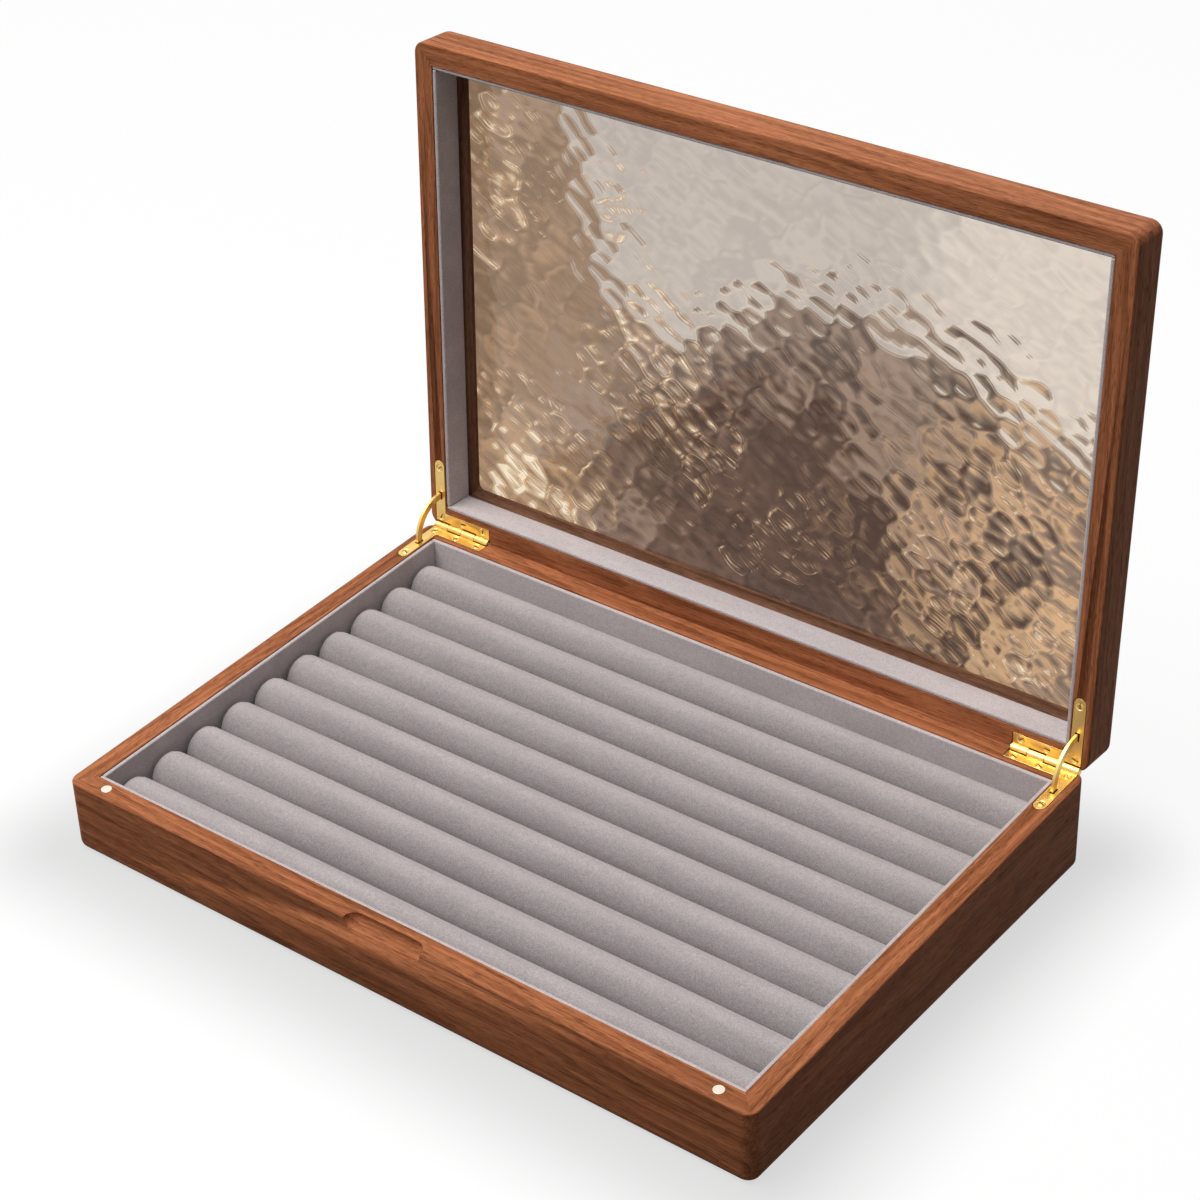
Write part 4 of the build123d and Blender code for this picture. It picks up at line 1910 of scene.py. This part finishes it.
@dataclass
class Studio:
    """Floor, lamps, surroundings and camera.

    The camera's place is in widths of the box, from the middle of the case's lower front edge.
    """

    sizes: BoxSizes
    azimuth: float = 38.81
    elevation: float = 32.4
    roll: float = -2.0
    focal_pixels: float = 2868.6
    frame_pixels: float = 1200.0
    sensor_width: float = 36.0
    clip: tuple[float, float] = (0.01, 50.0)
    camera_place: Point = (1.75, -1.7695, 2.0959)
    world_level: float = 0.11
    floor_reach: float = 9.0
    floor_mirror: float = 0.75
    floor_plain: float = 0.12
    floor_bright: float = 0.09
    shadow_reach: float = 0.04
    shadow_glow: float = 0.66
    open_glow: float = 0.91
    lamps: tuple[Lamp, ...] = (
        Lamp("overhead", (-0.30, -0.32, 1.25), (0, 0, 0.03), 0.9, 19.2, (1.0, 0.99, 0.975)),
        Lamp("back fill", (-0.2, 1.3, 0.6), (0, 0.1, 0.1), 0.8, 1.5, (1.0, 0.99, 0.98)),
    )

    def camera(self) -> None:
        """Puts the camera where the photograph was taken from."""
        data = bpy.data.cameras.new("camera")
        data.sensor_width = self.sensor_width
        data.lens = self.focal_pixels / self.frame_pixels * data.sensor_width
        data.clip_start, data.clip_end = self.clip
        item = in_scene("camera", data)
        turn, rise, roll = (math.radians(a) for a in (self.azimuth, self.elevation, self.roll))
        away = math.cos(rise)
        back = Vector((math.sin(turn) * away, -math.cos(turn) * away, math.sin(rise)))
        right = Vector((math.cos(turn), math.sin(turn), 0))
        up = back.cross(right)
        tilted = right * math.cos(roll) + up * math.sin(roll)
        axes = Matrix((tilted, back.cross(tilted), back)).transposed()
        place = Vector(self.camera_place) * self.sizes.width
        place.y -= self.sizes.depth / 2
        item.matrix_world = Matrix.Translation(place) @ axes.to_4x4()
        bpy.context.scene.camera = item

    def floor(self) -> None:
        """Lays a plain white floor that keeps the box's shadow, with a painted shadow round the box's
        footprint.
        """
        mesh = bpy.data.meshes.new("floor")
        far = self.floor_reach
        corners = [(-far, -far, 0), (far, -far, 0), (far, far, 0), (-far, far, 0)]
        mesh.from_pydata(corners, [], [(0, 1, 2, 3)])
        item = in_scene("floor", mesh)
        material = bpy.data.materials.new("white floor")
        material.use_nodes = True
        graph = Graph(material.node_tree)
        graph.tree.nodes.clear()
        x, y, _ = graph.parts_of(graph.result("ShaderNodeTexCoord", output="Object"))
        beside = [
            graph.math("MAXIMUM", graph.minus(graph.math("ABSOLUTE", part), half), 0.0)
            for part, half in ((x, self.sizes.width / 2), (y, self.sizes.depth / 2))
        ]
        away = graph.measure("LENGTH", graph.combine(*beside, 0.0))
        # Painted shadow: the glow that the camera sees is dimmer near the box's footprint.
        level = graph.spread(away, 0.0, self.shadow_reach, self.shadow_glow, self.open_glow)
        glow = graph.result("ShaderNodeEmission", {"Color": WHITE, "Strength": level})
        plain, bright = (
            graph.result("ShaderNodeBsdfDiffuse", {"Color": (level, level, level)})
            for level in (self.floor_plain, self.floor_bright)
        )
        lit = graph.result("ShaderNodeAddShader", {0: bright, 1: glow})
        seen = self._seen(graph, self.floor_mirror)
        mixed = graph.result("ShaderNodeMixShader", {0: seen, 1: plain, 2: lit})
        graph.add("ShaderNodeOutputMaterial", {"Surface": mixed})
        mesh.materials.append(material)

    def surroundings(self) -> None:
        """Sets soft light all round, and plain white where it is seen."""
        world = bpy.data.worlds.new("studio")
        bpy.context.scene.world = world
        world.use_nodes = True
        graph = Graph(world.node_tree)
        graph.tree.nodes.clear()
        soft, white = (
            graph.result("ShaderNodeBackground", {"Color": WHITE, "Strength": level})
            for level in (self.world_level, 1.0)
        )
        seen = self._seen(graph, 1.0)
        mixed = graph.result("ShaderNodeMixShader", {0: seen, 1: soft, 2: white})
        graph.add("ShaderNodeOutputWorld", {"Surface": mixed})

    def _seen(self, graph: Graph, mirrored: float) -> Socket:
        """Mask of the rays that see the studio as it is, and not only its soft light.

        Args:
            graph: the graph to work in.
            mirrored: value for rays that come off something glossy.

        Returns:
            The mask, from 0 to 1.
        """
        path = graph.add("ShaderNodeLightPath").outputs
        direct = graph.math("MAXIMUM", path["Is Camera Ray"], path["Is Transmission Ray"])
        return graph.math("MAXIMUM", direct, graph.times(path["Is Glossy Ray"], mirrored))

    def build(self) -> None:
        """Sets up the studio."""
        self.camera()
        self.floor()
        self.surroundings()
        for lamp in self.lamps:
            lamp.hang()
        bpy.context.scene.view_settings.view_transform = "Standard"


# ---- Build -------------------------------------------------------------------------------------


def main() -> None:
    """Builds the dressed box piece by piece and its studio."""
    logging.basicConfig(level=logging.INFO, format="%(name)s: %(message)s")
    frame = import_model()
    log.info("%d nodes to dress", len(frame["nodes"]))
    sizes = BoxSizes()
    finishes = Finishes(sizes)
    Studio(sizes).build()
    case_hearts = {
        "front": (0.0, 0.112, 0.021),
        "back": (0.3, -0.050, 0.034),
        "left": (0.1, 0.093, 0.027),
        "right": (0.7, -0.121, 0.019),
    }
    lid_hearts = {
        "front": (0.2, -0.052, -0.140),
        "back": (0.5, -0.047, -0.012),
        "left": (0.4, 0.021, 0.075),
        "right": (0.9, 0.013, -0.128),
    }
    WoodFrame("case", "base", Grain.TO_THE_BACK, finishes, case_hearts).build()
    WoodFrame("lid", "lid", Grain.UP_THE_LID, finishes, lid_hearts).build()
    CasePanel(finishes).build()
    JointBead(sizes).build()
    lining = finishes.velvet.material("lining velvet", 0.28, 0.14, 1.0)
    Liners("case", "base", lining).build()
    Liners("lid", "lid", lining).build()
    # The roll velvet is a darker copy of the lining velvet: painted shade of its pile and of its
    # front-leaning flanks.
    RollTray(sizes, finishes.velvet.material("roll velvet", 0.3, 0.12, 0.82, 0.68)).build()
    HammeredPane(sizes, finishes.glass.material("rippled bronze glass")).build()
    QuadrantHinges(sizes, finishes.brass.material("polished brass")).build()
    ClosingMagnets(finishes.nickel.material("nickel plate")).build()


if __name__ == "__main__":
    main()
